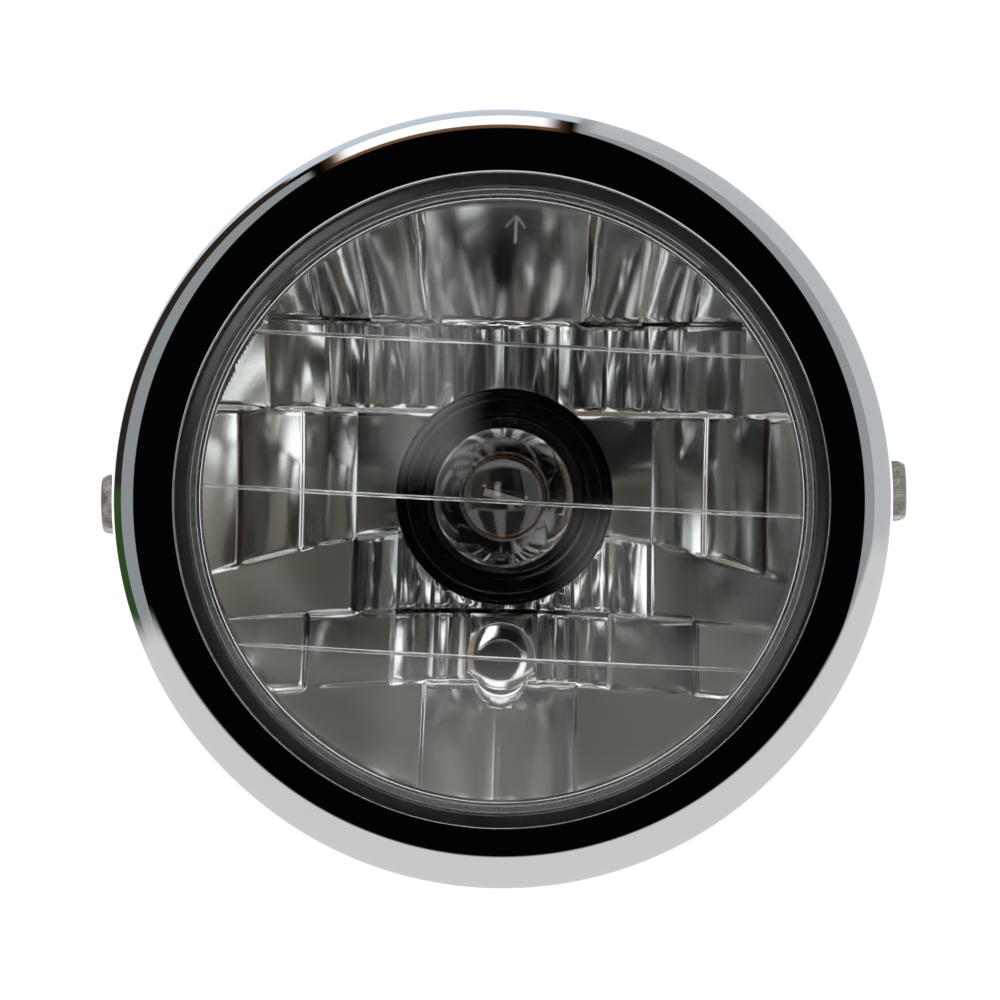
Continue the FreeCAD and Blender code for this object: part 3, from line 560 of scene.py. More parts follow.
def makeLens():
    centre, radius, corner, angle = lensDome(0, lens["radius"])
    bore = lens["radius"] - lens["wall"]
    centreIn, radiusIn, cornerIn, angleIn = lensDome(lens["wall"], bore)
    backY = lens["frontY"] + lens["flange"]
    outline = [(0, centre[1] - radius)] + arc(centre, radius, -90, angle, 40)[1:]
    outline += arc(corner, lens["corner"], angle, 0, 10)
    size = lens["stepRound"]
    outline += arc((lens["radius"] + size, lens["frontY"] - size), size, 180, 90, 5)
    outline += [(lens["unit"], lens["frontY"]), (lens["unit"], backY)]
    size = lens["boreRound"]
    outline += arc((bore + size, backY - size), size, 90, 180, 5)
    outline += arc(cornerIn, lens["corner"], 0, angleIn, 10)
    outline += arc(centreIn, radiusIn, angleIn, -90, 40)[:-1] + [(0, centreIn[1] - radiusIn)]
    glass = tidyMesh(lathe("glass", outline, 288))

    # the three moulded lines and the mark
    edge = bore - lens["lineMargin"]
    lines = []
    for place in (-1, 0, 1):
        z = place * lens["lineSpacing"]
        half = math.sqrt(edge ** 2 - z ** 2)
        lines.append([(-half, z), (half, z)])
    tree = makeBeadTree()
    beads = []
    for bead, drawn in (("lineRadius", lines), ("markRadius", lens["mark"])):
        beads.append(runTree(tree, lineMesh("lines", drawn), {
            "Ball Centre": centreIn[1] * mm,
            "Ball Radius": (radiusIn - lens[bead] - lens["gap"]) * mm,
            "Bead Radius": lens[bead] * mm,
            "Step": lens["lineStep"] * mm,
            "Glass": finish["lens_glass"]}))
    # locating tab on the front of the flange
    low = rim["face"] - rim["radius"] + lens["tabEdge"]
    high = low + lens["tabLength"]
    half = lens["tabWidth"] / 2
    corners = [(x * mm, y * mm, z * mm)
               for y in (lens["frontY"] - lens["tabHeight"], lens["frontY"] - lens["gap"])
               for x, z in ((-half, low), (half, low), (half, high), (-half, high))]
    sides = [(k, k + 4, (k + 1) % 4 + 4, (k + 1) % 4) for k in range(4)]
    tab = newMesh("tab", corners, [], [(0, 1, 2, 3), (7, 6, 5, 4)] + sides)
    mesh = closeShape(openShape(glass, *beads, tidyMesh(tab)), bpy.data.meshes.new("clearLens"))
    mesh.set_sharp_from_angle(angle=math.radians(40))
    addPiece("clearLens", turnMesh(mesh, lens["turn"]), "lens_glass", ["lens"])


makeLens()
print("lens made")

mirrorLow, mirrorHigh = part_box("reflector")
mirror = {
    "frontY": mirrorLow.y / mm,
    "neckEndY": mirrorHigh.y / mm,
    "unit": mirrorHigh.x / mm,
    "mouth": lens["radius"] - 2.6,
    "focal": 21.0,
    "flange": 2.5,
    "margin": 3.5,
    "shellBack": 3.0,
    "neckBore": 26.0,
    "neckWall": 3.5,
    "ledge": 1.0,          # between neighbouring facets
    "rowLedge": 1.3,       # between rows
    "pilotDrop": 37.6,
    "pilotRadius": 8.0,
    "pilotStand": 4.3,
    "pilotFlare": 0.55,
    "pilotStraight": 1.0,
    "pilotSteps": [(-0.05, 0.1), (0.1, 0.0), (4.0, 0.0), (7.4, 0.0)],    # inset, depth
    "pilotNear": 2.5,      # the facets it cuts lie this near the plain curve
    "turn": 2.0,
    "beyond": 3.0,         # the outermost facets reach past the mouth
    "spreadTop": 2.0,      # so does the height over which facets of a row spread
    "columns": 171,
    "middleHalf": 11.0,    # finer columns round the blank
    "middleColumns": 45,
    "columnGap": 0.06,
    "lineStep": 1.1,
    "snap": 0.45,          # lines this near the mouth end on it
    "ledgeSnap": 0.12,
    "mouthNear": 0.05,     # corners this near the mouth's circle are on it
    "weld": 0.02,
    "shellSteps": 12,
    # rows from the top: lower edge at the front and deep down, facet edges, depth and hollow of each facet
    "rows": [
        {"foot": (41.3, 41.3), "spread": 0.14, "edges": [18.2, 31.6, 42.6, 55.0],
         "shift": [1.5, 0.0, 0.5, 0.0, 0.4], "flute": [1.2, 0.6, 0.6, 0.6, 0.3]},
        {"foot": (20.2, 20.2), "edges": [0.0, 12.1, 23.3, 32.9, 41.8, 54.9],
         "shift": [1.2, 1.2, 1.2, 1.2, 1.2, 1.2], "flute": [0.6, 0.6, 0.5, 0.5, 0.6, 0.4]},
        {"foot": (-17.8, -7.5), "edges": [34.5, 47.4, 60.7],
         "shift": [0.0, 0.0, 0.6, 0.0], "flute": [0.0, 0.6, 0.6, 0.3]},
        {"foot": (-28.4, -27.2), "edges": [0.0, 8.5, 16.7, 24.8, 34.9],
         "shift": [1.2, 1.2, 1.2, 1.2, 0.2], "flute": [0.4, 0.4, 0.4, 0.5, 0.3]},
        {"foot": (-44.5, -43.1), "edges": [8.0, 15.5, 25.7, 45.2],
         "shift": [0.2, 0.2, 0.2, 1.2, 0.0], "flute": [0.4, 0.4, 0.5, 0.2, 0.2]},
        {"foot": (-200.0, -200.0), "edges": [0.0, 17.9],
         "shift": [1.4, 1.0], "flute": [0.4, 0.2]},
    ],
}
mirror["apexY"] = mirror["frontY"] + mirror["mouth"] ** 2 / (4 * mirror["focal"])


# facets of a row from left to right: left edge, right edge, depth, hollow
def facetsAcross(row):
    marks = row["edges"] + [mirror["mouth"] + mirror["beyond"]]
    first = 0 if marks[0] == 0 else 1
    right = list(zip(marks[:-1], marks[1:], row["shift"][first:], row["flute"][first:]))
    left = [(-b, -a, s, f) for a, b, s, f in reversed(right)]
    middle = [(-marks[0], marks[0], row["shift"][0], row["flute"][0])] if first else []
    return left + middle + right


# how far a row's facets lie behind the plain mirror curve
def rowOffset(row, x):
    half = mirror["ledge"] / 2
    offset = np.zeros_like(x)
    facets = facetsAcross(row)
    for left, right, shift, flute in facets:
        t = (x - left - half) / (right - left - 2 * half)
        within = (x >= left + half) & (x <= right - half)
        offset = np.where(within, shift + flute * 4 * t * (1 - t), offset)
    for here, beside in zip(facets[:-1], facets[1:]):
        edge, shift, step = here[1], here[2], beside[2] - here[2]
        on = np.abs(x - edge) < half
        offset = np.where(on, shift + step * easeStep((x - edge + half) / (2 * half)), offset)
    return offset


def footHeight(row, x):
    front, deep = row["foot"]
    z = np.full_like(x, deep)
    span = mirror["apexY"] - mirror["frontY"]
    for step in range(12):
        y = mirror["apexY"] - (x * x + z * z) / (4 * mirror["focal"])
        z = front + (deep - front) * np.clip((y - mirror["frontY"]) / span, 0, 1)
    return z


# lays the plain grid of the mirror on the mirror curve: a paraboloid, plus each corner's own depth
def makeMirrorTree():
    tree, given = newTree("mirrorCurve", {"Apex": 0.02, "Focal Length": 0.02, "Coating": None})
    spot = addNode(tree, "GeometryNodeInputPosition")
    parts = addNode(tree, "ShaderNodeSeparateXYZ", {0: spot})
    depth = addNode(tree, "GeometryNodeInputNamedAttribute", {"Name": "facetDepth"}, data_type="FLOAT")
    away = addNode(tree, "ShaderNodeVectorMath", {0: spot, 1: spot}, operation="DOT_PRODUCT")
    four = addNode(tree, "ShaderNodeMath", {0: given["Focal Length"], 1: 4.0}, operation="MULTIPLY")
    fall = addNode(tree, "ShaderNodeMath", {0: away.outputs["Value"], 1: four}, operation="DIVIDE")
    curve = addNode(tree, "ShaderNodeMath", {0: given["Apex"], 1: fall}, operation="SUBTRACT")
    y = addNode(tree, "ShaderNodeMath", {0: curve, 1: depth.outputs["Attribute"]}, operation="ADD")
    there = addNode(tree, "ShaderNodeCombineXYZ", {0: parts.outputs["X"], 1: y, 2: parts.outputs["Z"]})
    laid = addNode(tree, "GeometryNodeSetPosition", {"Geometry": given["Geometry"], "Position": there})
    return closeTree(tree, laid, given["Coating"])


def mirrorColumns():
    mouth, half = mirror["mouth"], mirror["ledge"] / 2
    marks = [mouth * math.sin(math.radians(a)) for a in np.linspace(-90, 90, mirror["columns"])]
    for row in mirror["rows"]:
        for edge in row["edges"]:
            for share in (-1.0, -0.6, -0.2, 0.2, 0.6, 1.0):
                marks += [edge + share * half, -edge - share * half]
    marks += list(np.linspace(-mirror["middleHalf"], mirror["middleHalf"], mirror["middleColumns"]))
    marks = sorted(m for m in marks if abs(m) <= mouth)
    kept = [marks[0]]
    for mark in marks[1:]:
        if mark - kept[-1] > mirror["columnGap"]:
            kept.append(mark)
    return np.array(kept)


def mirrorGrid():
    columns = mirrorColumns()
    rows = mirror["rows"]
    mouth, band = mirror["mouth"], mirror["rowLedge"] / 2
    limit = np.sqrt(np.maximum(mouth ** 2 - columns ** 2, 0))
    feet = [footHeight(row, columns) for row in rows]
    lines = []                                     # (heights, depths) of each line across the mirror
    top = np.full_like(columns, mouth + band)
    for i, row in enumerate(rows):
        foot = feet[i] if i < len(rows) - 1 else np.full_like(columns, -mouth - band)
        count = max(10, int(np.mean(top - foot) / mirror["lineStep"]))
        for k in range(count + 1):
            z = top - band + (foot - top + 2 * band) * k / count
            z = np.where(np.abs(z) > limit - mirror["snap"], np.sign(z) * limit, z)
            height = mouth + mirror["spreadTop"] - np.mean(foot)
            spread = 1 + row.get("spread", 0.0) * (z - foot) / height
            lines.append((z, rowOffset(row, columns / spread)))
        if i < len(rows) - 1:
            here, below = rowOffset(row, columns), rowOffset(rows[i + 1], columns)
            for share in (0.12, 0.25, 0.38, 0.5, 0.62, 0.75, 0.88):
                z = foot + band - 2 * band * share
                z = np.where(np.abs(z) > limit - mirror["ledgeSnap"], np.sign(z) * limit, z)
                lines.append((z, here + (below - here) * easeStep(share)))
        top = foot
    heights = np.array([z for z, depth in lines])
    depths = np.array([depth for z, depth in lines])
    across = np.broadcast_to(columns, heights.shape)
    verts = np.stack([across, np.zeros_like(heights), heights], axis=-1).reshape(-1, 3) * mm
    rowsCount, columnsCount = heights.shape
    index = np.arange(rowsCount * columnsCount).reshape(rowsCount, columnsCount)
    faces = np.stack([index[:-1, :-1], index[:-1, 1:], index[1:, 1:], index[1:, :-1]], axis=-1).reshape(-1, 4)
    mesh = newMesh("mirrorGrid", verts.tolist(), [], faces.tolist())
    depth = mesh.attributes.new("facetDepth", "FLOAT", "POINT")
    depth.data.foreach_set("value", (depths.ravel() * mm).astype(np.float32))
    return mesh


def makeReflector():
    mesh = runTree(makeMirrorTree(), mirrorGrid(), {
        "Apex": mirror["apexY"] * mm, "Focal Length": mirror["focal"] * mm,
        "Coating": finish["mirror_coating"]})
    shape = openShape(mesh)
    bmesh.ops.remove_doubles(shape, verts=shape.verts, dist=mirror["weld"] * mm)

    def mirrorY(x, z):
        return mirror["apexY"] * mm - (x * x + z * z) / (4 * mirror["focal"] * mm)

    def moveOnMirror(vert, x, z):
        vert.co.y += mirrorY(x, z) - mirrorY(vert.co.x, vert.co.z)
        vert.co.x, vert.co.z = x, z

    # neck, then the outer flange and the back of the shell
    hole = mirror["neckBore"] * mm
    bore = cutHole(shape, lambda co: (co.x / hole, co.z / hole),
                   lambda vert, x, z: moveOnMirror(vert, x * hole, z * hole))
    bore = drawLoop(shape, bore, (0, 0), hole, mirror["neckEndY"] * mm, 1)
    mouth, near = mirror["mouth"] * mm, mirror["mouthNear"] * mm
    loop = [e for e in shape.edges if e.is_boundary and all(
        abs(math.hypot(v.co.x, v.co.z) - mouth) < near for v in e.verts)]
    shellFront = mirror["mouth"] + mirror["margin"]
    flangeY = mirror["frontY"] + mirror["flange"]
    shellApex = mirror["apexY"] + mirror["shellBack"]
    neck = mirror["neckBore"] + mirror["neckWall"]
    fall = (shellApex - flangeY) / shellFront ** 2
    steps = [(mirror["mouth"], mirror["frontY"])]
    steps += [(mirror["unit"], mirror["frontY"]), (mirror["unit"], flangeY)]
    for k in range(mirror["shellSteps"] + 1):
        r = shellFront + (neck - shellFront) * k / mirror["shellSteps"]
        steps.append((r, shellApex - fall * r * r))
    steps.append((neck, mirror["neckEndY"]))
    for r, y in steps:
        loop = drawLoop(shape, loop, (0, 0), r * mm, y * mm, 1)
    bmesh.ops.bridge_loops(shape, edges=loop + bore)

    # round blank below the bulb: a boss above, and below it a recess with a flared wall
    drop, radius = mirror["pilotDrop"] * mm, mirror["pilotRadius"] * mm
    faceY = mirrorY(0, drop) - mirror["pilotStand"] * mm

    def reach(x, z):
        away = math.hypot(x, z) or 1.0
        size = radius
        for step in range(20):
            wall = faceY - mirrorY(x / away * size, z / away * size - drop) - mirror["pilotStraight"] * mm
            size = radius + mirror["pilotFlare"] * max(0.0, wall)
        return size

    # on the mirrored face only: the back of the shell is deeper
    def onBlank(co):
        deepest = mirrorY(co.x, co.z) + mirror["pilotNear"] * mm
        if math.hypot(co.x, co.z + drop) > 2 * radius or co.y > deepest:
            return None
        size = reach(co.x, co.z + drop)
        return co.x / size, (co.z + drop) / size

    def placeBlank(vert, u, v):
        size = reach(u, v)
        moveOnMirror(vert, u * size, v * size - drop)

    wall = cutHole(shape, onBlank, placeBlank)
    for inset, back in mirror["pilotSteps"]:
        wall = drawLoop(shape, wall, (0.0, -drop), radius - inset * mm, faceY + back * mm, 0)
    bmesh.ops.contextual_create(shape, geom=wall)
    tidyMesh(closeShape(shape, mesh), sharp=50)
    # the coat ends at a crisp edge
    slots = {}
    for face in mesh.polygons:
        for key in face.edge_keys:
            slots.setdefault(key, set()).add(face.material_index)
    for edge in mesh.edges:
        if len(slots[edge.key]) > 1:
            edge.use_edge_sharp = True
    addPiece("mirrorReflector", turnMesh(mesh, mirror["turn"]), "mirror_coating", ["reflector"],
             [finish["mirror_coating"], mouldedBody])
    print("reflector faces:", len(mesh.polygons))


makeReflector()

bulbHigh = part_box("bulb_glass")[1]
bulb = {
    "focusY": mirror["apexY"] - mirror["focal"],
    "globe": 17.0,
    "wall": 0.8,
    "neck": 9.2,
    "neckRound": 8.0,
    "endY": bulbHigh.y / mm,
    "turn": 17.0,
}


def globeSide(inset):
    reach = bulb["neck"] + bulb["neckRound"]
    rise = math.sqrt((bulb["globe"] + bulb["neckRound"]) ** 2 - reach ** 2)
    angle = math.degrees(math.atan2(rise, reach))
    side = arc((0, bulb["focusY"]), bulb["globe"] - inset, -90, angle, 56)
    side += arc((reach, bulb["focusY"] + rise), bulb["neckRound"] + inset, 180 + angle, 180, 16)
    return [(0, side[0][1])] + side[1:] + [(bulb["neck"] - inset, bulb["endY"])]


def makeBulbGlobe():
    outline = globeSide(0) + list(reversed(globeSide(bulb["wall"])))
    addPiece("bulbGlobe", tidyMesh(lathe("bulbGlobe", outline, 160)), "bulb_glass", ["bulb_glass"])


makeBulbGlobe()
print("bulb glass made")

collarLow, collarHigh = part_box("bulb_collar")
collar = {
    "frontY": collarLow.y / mm,
    "backY": collarHigh.y / mm,
    "radius": mirror["neckBore"] - 0.2,
    "lipRadius": mirror["neckBore"] - 2.2,
    "bore": bulb["globe"] + 2.6,
    "opening": bulb["neck"] + 2.2,
    "flangeLength": 10.0,
    "web": 4.0,
    "round": 0.8,
    "boreRound": 0.3,
    "stepRound": 0.6,
    "floorRound": 1.0,
    "face": (21.2, 22.4),
    "split": 1.0,
    "splitDepth": 0.5,
    "splitReach": 23.5,
    "splitNear": 0.45,     # the split line takes the corners this near the face
    "turn": 2.0,
}


def makeCollar():
    size, front, back = collar["round"], collar["frontY"], collar["backY"]
    step = back - collar["flangeLength"]
    inner, outer, floor = collar["boreRound"], collar["stepRound"], collar["floorRound"]
    outline = [(collar["bore"], front + inner)]
    outline += arc((collar["bore"] + inner, front + inner), inner, 180, 270, 4)
    outline += [(radius, front) for radius in collar["face"]]
    outline += arc((collar["lipRadius"] - size, front + size), size, -90, 0, 8)
    outline += [(collar["lipRadius"], step)]
    outline += arc((collar["radius"] - outer, step + outer), outer, -90, 0, 5)
    outline += [(collar["radius"], back)]
    outline += [(collar["opening"], back), (collar["opening"], back - collar["web"])]
    outline += arc((collar["bore"] - floor, back - collar["web"] - floor), floor, 90, 0, 5)
    mesh = lathe("blackCollar", outline, 300)
    # the split line pressed into the face at each side
    for vert in mesh.vertices:
        x, y, z = (c / mm for c in vert.co)
        onFace = y < front + collar["splitNear"] and math.hypot(x, z) < collar["splitReach"]
        if onFace and abs(z) < collar["split"] / 2:
            vert.co.y += (collar["splitDepth"] - (y - front)) * mm
    addPiece("blackCollar", turnMesh(tidyMesh(mesh), collar["turn"]), "black_plastic", ["bulb_collar"])


makeCollar()
print("collar made")

filament = {
    "wire": 0.11,
    "radius": 0.44,
    "pitch": 0.36,
    "cadWidth": 1.1,       # of the plain rod in the CAD, which lies turned in its box
}


# a wire coiled along x about its middle
def makeCoilTree():
    tree, given = newTree("coiledWire", {
        "Length": 0.005, "Coil Radius": 0.0005, "Wire Radius": 0.0001, "Turns": 10.0, "Metal": None})
    spiral = addNode(tree, "GeometryNodeCurveSpiral", {
        "Resolution": 14, "Rotations": given["Turns"], "Start Radius": given["Coil Radius"],
        "End Radius": given["Coil Radius"], "Height": given["Length"]})
    half = addNode(tree, "ShaderNodeMath", {0: given["Length"], 1: -0.5}, operation="MULTIPLY")
    shift = addNode(tree, "ShaderNodeCombineXYZ", {0: half})
    laid = addNode(tree, "GeometryNodeTransform", {
        "Geometry": spiral, "Translation": shift,
        "Rotation": (0.0, math.radians(90), 0.0)})
    section = addNode(tree, "GeometryNodeCurvePrimitiveCircle", {
        "Resolution": 8, "Radius": given["Wire Radius"]}, mode="RADIUS")
    wire = addNode(tree, "GeometryNodeCurveToMesh", {
        "Curve": laid, "Profile Curve": section, "Fill Caps": True})
    smooth = addNode(tree, "GeometryNodeSetShadeSmooth", {"Geometry": wire})
    return closeTree(tree, smooth, given["Metal"])


coilTree = makeCoilTree()


def makeFilaments():
    for name, node in (("mainCoil", "main_filament"), ("dipCoil", "dip_filament")):
        low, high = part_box(node)
        middle = (low + high) / 2
        turn = math.radians(bulb["turn"])
        rod = ((high.x - low.x) / mm - filament["cadWidth"] * math.sin(turn)) / math.cos(turn)
        length = rod - 2 * filament["wire"]
        mesh = runTree(coilTree, bpy.data.meshes.new("empty"), {
            "Length": length * mm, "Coil Radius": filament["radius"] * mm,
            "Wire Radius": filament["wire"] * mm, "Turns": length / filament["pitch"],
            "Metal": finish["tungsten"]})
        turnMesh(mesh, bulb["turn"])
        for vert in mesh.vertices:
            vert.co += middle
        addPiece(name, mesh, "tungsten", [node])


makeFilaments()
print("filaments made")

nutLow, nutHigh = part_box("side_nuts")
nut = {
    "length": 7.0,
    "bore": 3.4,
    "pitch": 1.25,
    "ridge": 0.34,
    "chamfers": 1.6,
    "sink": 0.02,
}


# the thread's ridge in the bore of each side nut, clear of the chamfered ends
def makeNutThreads():
    length = nut["length"] - nut["chamfers"]
    for name, end in (("threadRight", nutHigh.x), ("threadLeft", nutLow.x)):
        mesh = runTree(coilTree, bpy.data.meshes.new("empty"), {
            "Length": length * mm, "Coil Radius": (nut["bore"] - nut["sink"]) * mm,
            "Wire Radius": nut["ridge"] * mm, "Turns": length / nut["pitch"], "Metal": finish["zinc_steel"]})
        middle = end - math.copysign(nut["length"] / 2 * mm, end)
        for vert in mesh.vertices:
            vert.co.x += middle
        addPiece(name, mesh, "zinc_steel")


makeNutThreads()
print("nut threads made")

sealLow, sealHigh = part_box("lens_seal")
seal = {
    "frontY": sealLow.y / mm,
    "backY": sealHigh.y / mm,
    "inner": mirror["mouth"] + 0.6,
    "outer": sealHigh.x / mm,
    "rings": 3,
    "crumbs": 360,         # in each ring
    "crumbRadius": 0.42,
    "crumbEdge": 1.3,      # crumb radii from the bed's edges to the outer rings
    "crumbRise": 0.1,
    "stray": 0.25,         # of the pitch between rings
    "smallest": 0.7,       # of a whole crumb
    "bed": 0.5,
    "seed": 7,
}


# crumbs in rings round the beam axis, each a little out of place and size
def makeCrumbTree():
    tree, given = newTree("sealCrumbs", {
        "Rings": 3, "Crumbs": 400, "First Radius": 0.07, "Pitch": 0.0008, "Depth": 0.0,
        "Crumb Radius": 0.0004, "Seed": 0, "Sealant": None})
    count = addNode(tree, "ShaderNodeMath", {0: given["Rings"], 1: given["Crumbs"]}, operation="MULTIPLY")
    points = addNode(tree, "GeometryNodePoints", {"Count": count})
    index = addNode(tree, "GeometryNodeInputIndex")
    ring = addNode(tree, "ShaderNodeMath", {0: index, 1: given["Rings"]}, operation="MODULO")
    share = addNode(tree, "ShaderNodeMath", {0: index, 1: count}, operation="DIVIDE")
    angle = addNode(tree, "ShaderNodeMath", {0: share, 1: 2 * math.pi}, operation="MULTIPLY")
    stray = addNode(tree, "FunctionNodeRandomValue", {
        "Min": -seal["stray"], "Max": seal["stray"], "Seed": given["Seed"]}, data_type="FLOAT").outputs[1]
    place = addNode(tree, "ShaderNodeMath", {0: ring, 1: stray}, operation="ADD")
    radius = addNode(tree, "ShaderNodeMath", {
        0: place, 1: given["Pitch"], 2: given["First Radius"]}, operation="MULTIPLY_ADD")
    cosine = addNode(tree, "ShaderNodeMath", {0: angle}, operation="COSINE")
    sine = addNode(tree, "ShaderNodeMath", {0: angle}, operation="SINE")
    x = addNode(tree, "ShaderNodeMath", {0: radius, 1: cosine}, operation="MULTIPLY")
    z = addNode(tree, "ShaderNodeMath", {0: radius, 1: sine}, operation="MULTIPLY")
    spot = addNode(tree, "ShaderNodeCombineXYZ", {0: x, 1: given["Depth"], 2: z})
    laid = addNode(tree, "GeometryNodeSetPosition", {"Geometry": points, "Position": spot})
    ball = addNode(tree, "GeometryNodeMeshUVSphere", {
        "Segments": 8, "Rings": 5, "Radius": given["Crumb Radius"]})
    scale = addNode(tree, "FunctionNodeRandomValue", {
        "Min": seal["smallest"], "Max": 1.0, "Seed": given["Seed"]}, data_type="FLOAT").outputs[1]
    crumbs = addNode(tree, "GeometryNodeInstanceOnPoints", {
        "Points": laid, "Instance": ball, "Scale": scale})
    smooth = addNode(tree, "GeometryNodeSetShadeSmooth", {"Geometry": crumbs})
    both = addNode(tree, "GeometryNodeJoinGeometry")
    tree.links.new(smooth.outputs["Geometry"], both.inputs[0])
    tree.links.new(given["Geometry"], both.inputs[0])
    return closeTree(tree, both, given["Sealant"])


def makeSeal():
    low, high = seal["inner"], seal["outer"]
    floor = seal["frontY"] + seal["bed"]
    outline = [(low, floor), (high, floor), (high, seal["backY"]), (low, seal["backY"])]
    edge = seal["crumbEdge"] * seal["crumbRadius"]
    mesh = runTree(makeCrumbTree(), tidyMesh(lathe("bed", outline, 240)), {
        "Rings": seal["rings"], "Crumbs": seal["crumbs"], "First Radius": (low + edge) * mm,
        "Pitch": (high - low - 2 * edge) / (seal["rings"] - 1) * mm,
        "Depth": (floor - seal["crumbRise"]) * mm, "Crumb Radius": seal["crumbRadius"] * mm,
        "Seed": seal["seed"], "Sealant": finish["grey_sealant"]})
    addPiece("sealBead", mesh, "grey_sealant", ["lens_seal"])


makeSeal()
print("seal made")

# floor, world and camera
stage = {
    "floorZ": -0.13,
    "floorSize": 3.0,
}


def makeStage():
    s, z = stage["floorSize"], stage["floorZ"]
    mesh = newMesh("floor", [(-s, -s, z), (s, -s, z), (s, s, z), (-s, s, z)], [], [(0, 1, 2, 3)])
    floor = addObject("floor", mesh)
    floor.visible_glossy = False
    floor.visible_transmission = False
    material, tree = newMaterial("whitePaper")[:2]
    paper = addNode(tree, "ShaderNodeBsdfDiffuse", {"Color": hexColor("#f4f4f4")})
    path = addNode(tree, "ShaderNodeLightPath").outputs
    lift = addNode(tree, "ShaderNodeEmission", {"Strength": path["Is Camera Ray"]})
    fill = addNode(tree, "ShaderNodeAddShader", {0: paper, 1: lift})
    addNode(tree, "ShaderNodeOutputMaterial", {"Surface": fill})
    mesh.materials.append(material)


# what stands round the lamp, as it looks in the plate: each panel is its colour, the softness of its border
# and its edges; it fills the directions on the inner side of all its edges, and lies over the panels before
# it; an edge is (across x, along y, up z)
studio = [
    ("#bcc3cc", 0.10, [(0, 1, -0.4)]),  # wall behind
    ("#8d9193", 0.03, [(1, 0.70, 0), (4.7, 0, -1)]),  # screen, right
    ("#b2b5b7", 0.05, [(1, 2.05, 0), (4.0, 0, -1)]),
    ("#2a221d", 0.05, [(-1, 1.38, 0), (-1.5, 0, -1), (-1, -1, 0)]),  # dark room, left
    ("#2b4722", 0.04, [(0.15, 1, 0), (-1, -0.9, 0), (-0.03, 0, -1), (-0.4, 0, 1)]),
    ("#888d8f", 0.03, [(-1, 1.38, 0), (-1, -8, 0), (-1.7, 0, -1), (-0.55, 0, 1)]),
    ("#6a4c34", 0.08, [(0, 2.05, 1), (1, 0, 0.50), (-1, 0, 0.16), (0, -2.4, 1)]),  # lamp
    ("#ffffff", 0.06, [(0, 3.73, 1), (1, 0, 0.47), (-1, 0, 0.14), (0, -2.4, 1)]),
    ("#c9c7c7", 0.10, [(0, 0.337, -1), (-0.15, 0, -1), (0.36, 0, -1)]),  # table
    ("#ffffff", 0.15, [(-1, 0.84, 0), (1, 0.84, 0), (0, 0.3, -1), (0, 0.84, 1)]),
]
# what the mirror gathers through the lens: the same room, with the lit parts in front that only it can see
gathered = [
    ("#ffffff", 0.09, [(-1, 0.08, 0), (0, 0.05, 1), (1, -0.25, 0), (0, -0.50, -1)]),
    ("#c4c4c2", 0.09, [(1, 0.12, 0), (0, 0.05, -1), (-1, -0.34, 0), (0, -0.34, 1)]),
    ("#3e3e3c", 0.08, [(1, 0.36, 0), (0, -0.42, 1), (-1, -0.60, 0)]),
    ("#64574a", 0.10, [(-1, 0.44, 0)]),
    ("#484846", 0.14, [(0, 0.42, -1)]),
]
# pale surroundings far to the sides, which light the edges of the glass and the ledges of the mirror, and
# dark things on the table below
around = [
    ("#e4e4e2", 0.12, [(1, 1.9, 0)]),
    ("#e4e4e2", 0.12, [(-1, 2.2, 0)]),
    ("#e4e4e2", 0.12, [(0, 1.3, 1)]),
    ("#3b3733", 0.10, [(1, 0.06, 0), (0, 0.38, -1), (-1, -0.80, 0)]),
    ("#3b3733", 0.10, [(-1, 0.30, 0), (0, 0.38, -1), (1, -0.95, 0)]),
]
gatherGain = 2.2       # makes up for what the glass and the haze of the mirror take
plateGain = 1.45       # undoes the plate's own grey
roomLight = 0.9        # even light on everything that isn't a mirror


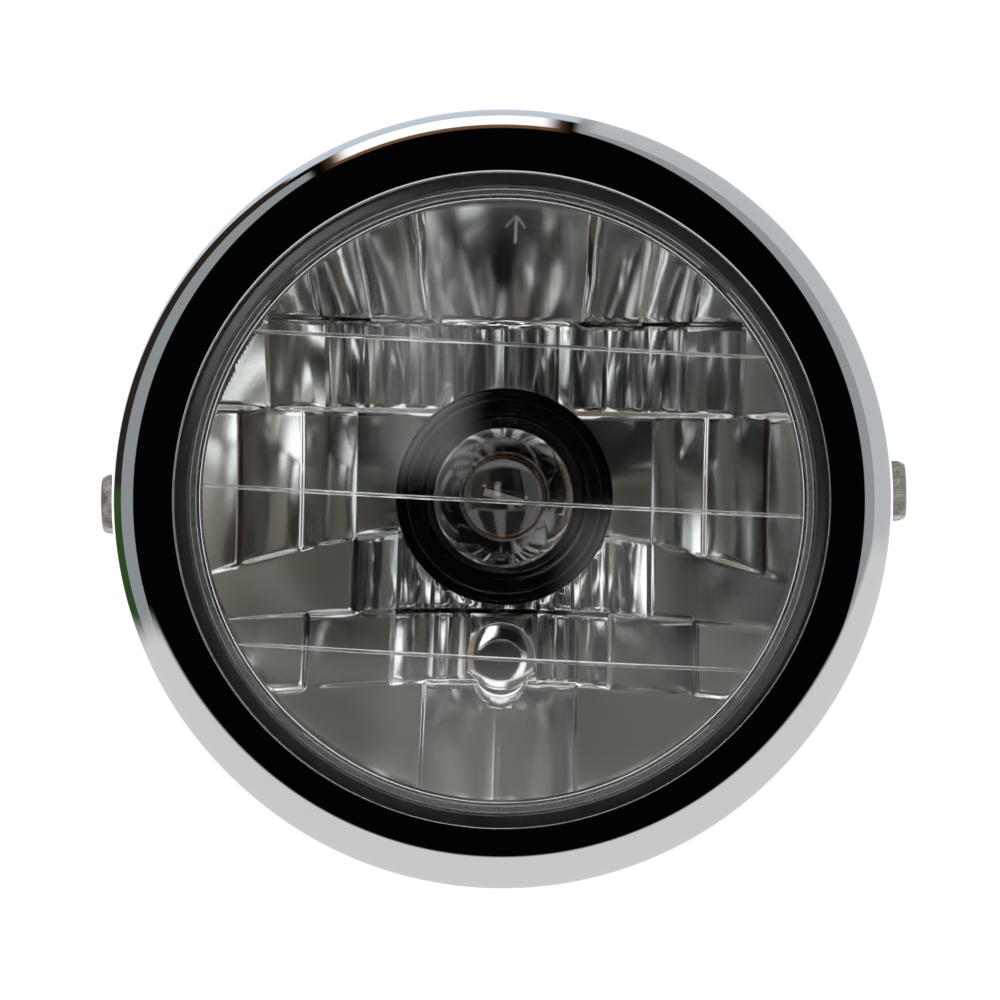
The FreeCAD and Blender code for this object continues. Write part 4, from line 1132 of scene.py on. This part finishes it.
def makeWorld():
    world = bpy.data.worlds.new("studio")
    scene.world = world
    world.use_nodes = True
    world.cycles.sampling_method = "NONE"    # mirrors and glass find the panels by themselves
    tree = world.node_tree
    tree.nodes.clear()
    coords = addNode(tree, "ShaderNodeTexCoord").outputs["Generated"]

    def paintPanels(color, panels):
        for tint, soft, edges in panels:
            mask = None
            for edge in edges:
                size = math.hypot(*edge)
                side = addNode(tree, "ShaderNodeVectorMath", {
                    0: coords, 1: tuple(c / size for c in edge)}, operation="DOT_PRODUCT")
                inside = addNode(tree, "ShaderNodeMapRange", {
                    "Value": side.outputs["Value"], "From Min": -soft / 2, "From Max": soft / 2},
                    interpolation_type="SMOOTHSTEP")
                mask = inside if mask is None else addNode(
                    tree, "ShaderNodeMath", {0: mask, 1: inside}, operation="MULTIPLY")
            color = addNode(tree, "ShaderNodeMix", {
                0: mask, 6: color, 7: hexColor(tint)}, data_type="RGBA").outputs[2]
        return color

    path = addNode(tree, "ShaderNodeLightPath").outputs
    shader = addNode(tree, "ShaderNodeBackground", {"Color": hexColor("#ffffff"), "Strength": roomLight})
    front = hexColor("#030303")
    for kind, color, strength in (
            ("Is Glossy Ray", paintPanels(front, studio), plateGain),
            ("Is Transmission Ray", paintPanels(front, gathered + studio + around), gatherGain),
            ("Is Camera Ray", hexColor("#ffffff"), 1.0)):
        seen = addNode(tree, "ShaderNodeBackground", {"Color": color, "Strength": strength})
        shader = addNode(tree, "ShaderNodeMixShader", {0: path[kind], 1: shader, 2: seen})
    addNode(tree, "ShaderNodeOutputWorld", {"Surface": shader})


view = {
    "lens": 171.8,
    "sensor": 36.0,
    "clip": (0.05, 20.0),
    "away": 1.132,
    "azimuth": 0.7,
    "elevation": 1.0,
    "roll": 1.0,
    "aimX": -0.0005,
    "aimY": -0.030,
}


def makeCamera():
    data = bpy.data.cameras.new("camera")
    data.lens = view["lens"]
    data.sensor_width = view["sensor"]
    data.clip_start, data.clip_end = view["clip"]
    camera = addObject("camera", data)
    az, el = math.radians(view["azimuth"]), math.radians(view["elevation"])
    reachOut = view["away"] + view["aimY"]
    side, back, up = math.sin(az) * math.cos(el), -math.cos(az) * math.cos(el), math.sin(el)
    camera.location = (side * reachOut + view["aimX"], back * reachOut + view["aimY"], up * reachOut)
    # looks at the middle of the rim, rolled a little about its own line of sight
    look = Matrix.Rotation(az, 4, "Z") @ Matrix.Rotation(math.radians(90) - el, 4, "X")
    look = look @ Matrix.Rotation(math.radians(-view["roll"]), 4, "Z")
    camera.rotation_euler = look.to_euler()
    scene.camera = camera


makeStage()
makeWorld()
makeCamera()
scene.view_settings.view_transform = "Standard"
scene.cycles.max_bounces = 14
scene.cycles.glossy_bounces = 9
scene.cycles.transmission_bounces = 12
print("stage, world and camera made")

# CAD nodes that stay get their finish
for name, node in frame["nodes"].items():
    node.data.materials.clear()
    node.data.materials.append(ownFinish.get(name) or finish[slotOfNode[name]])
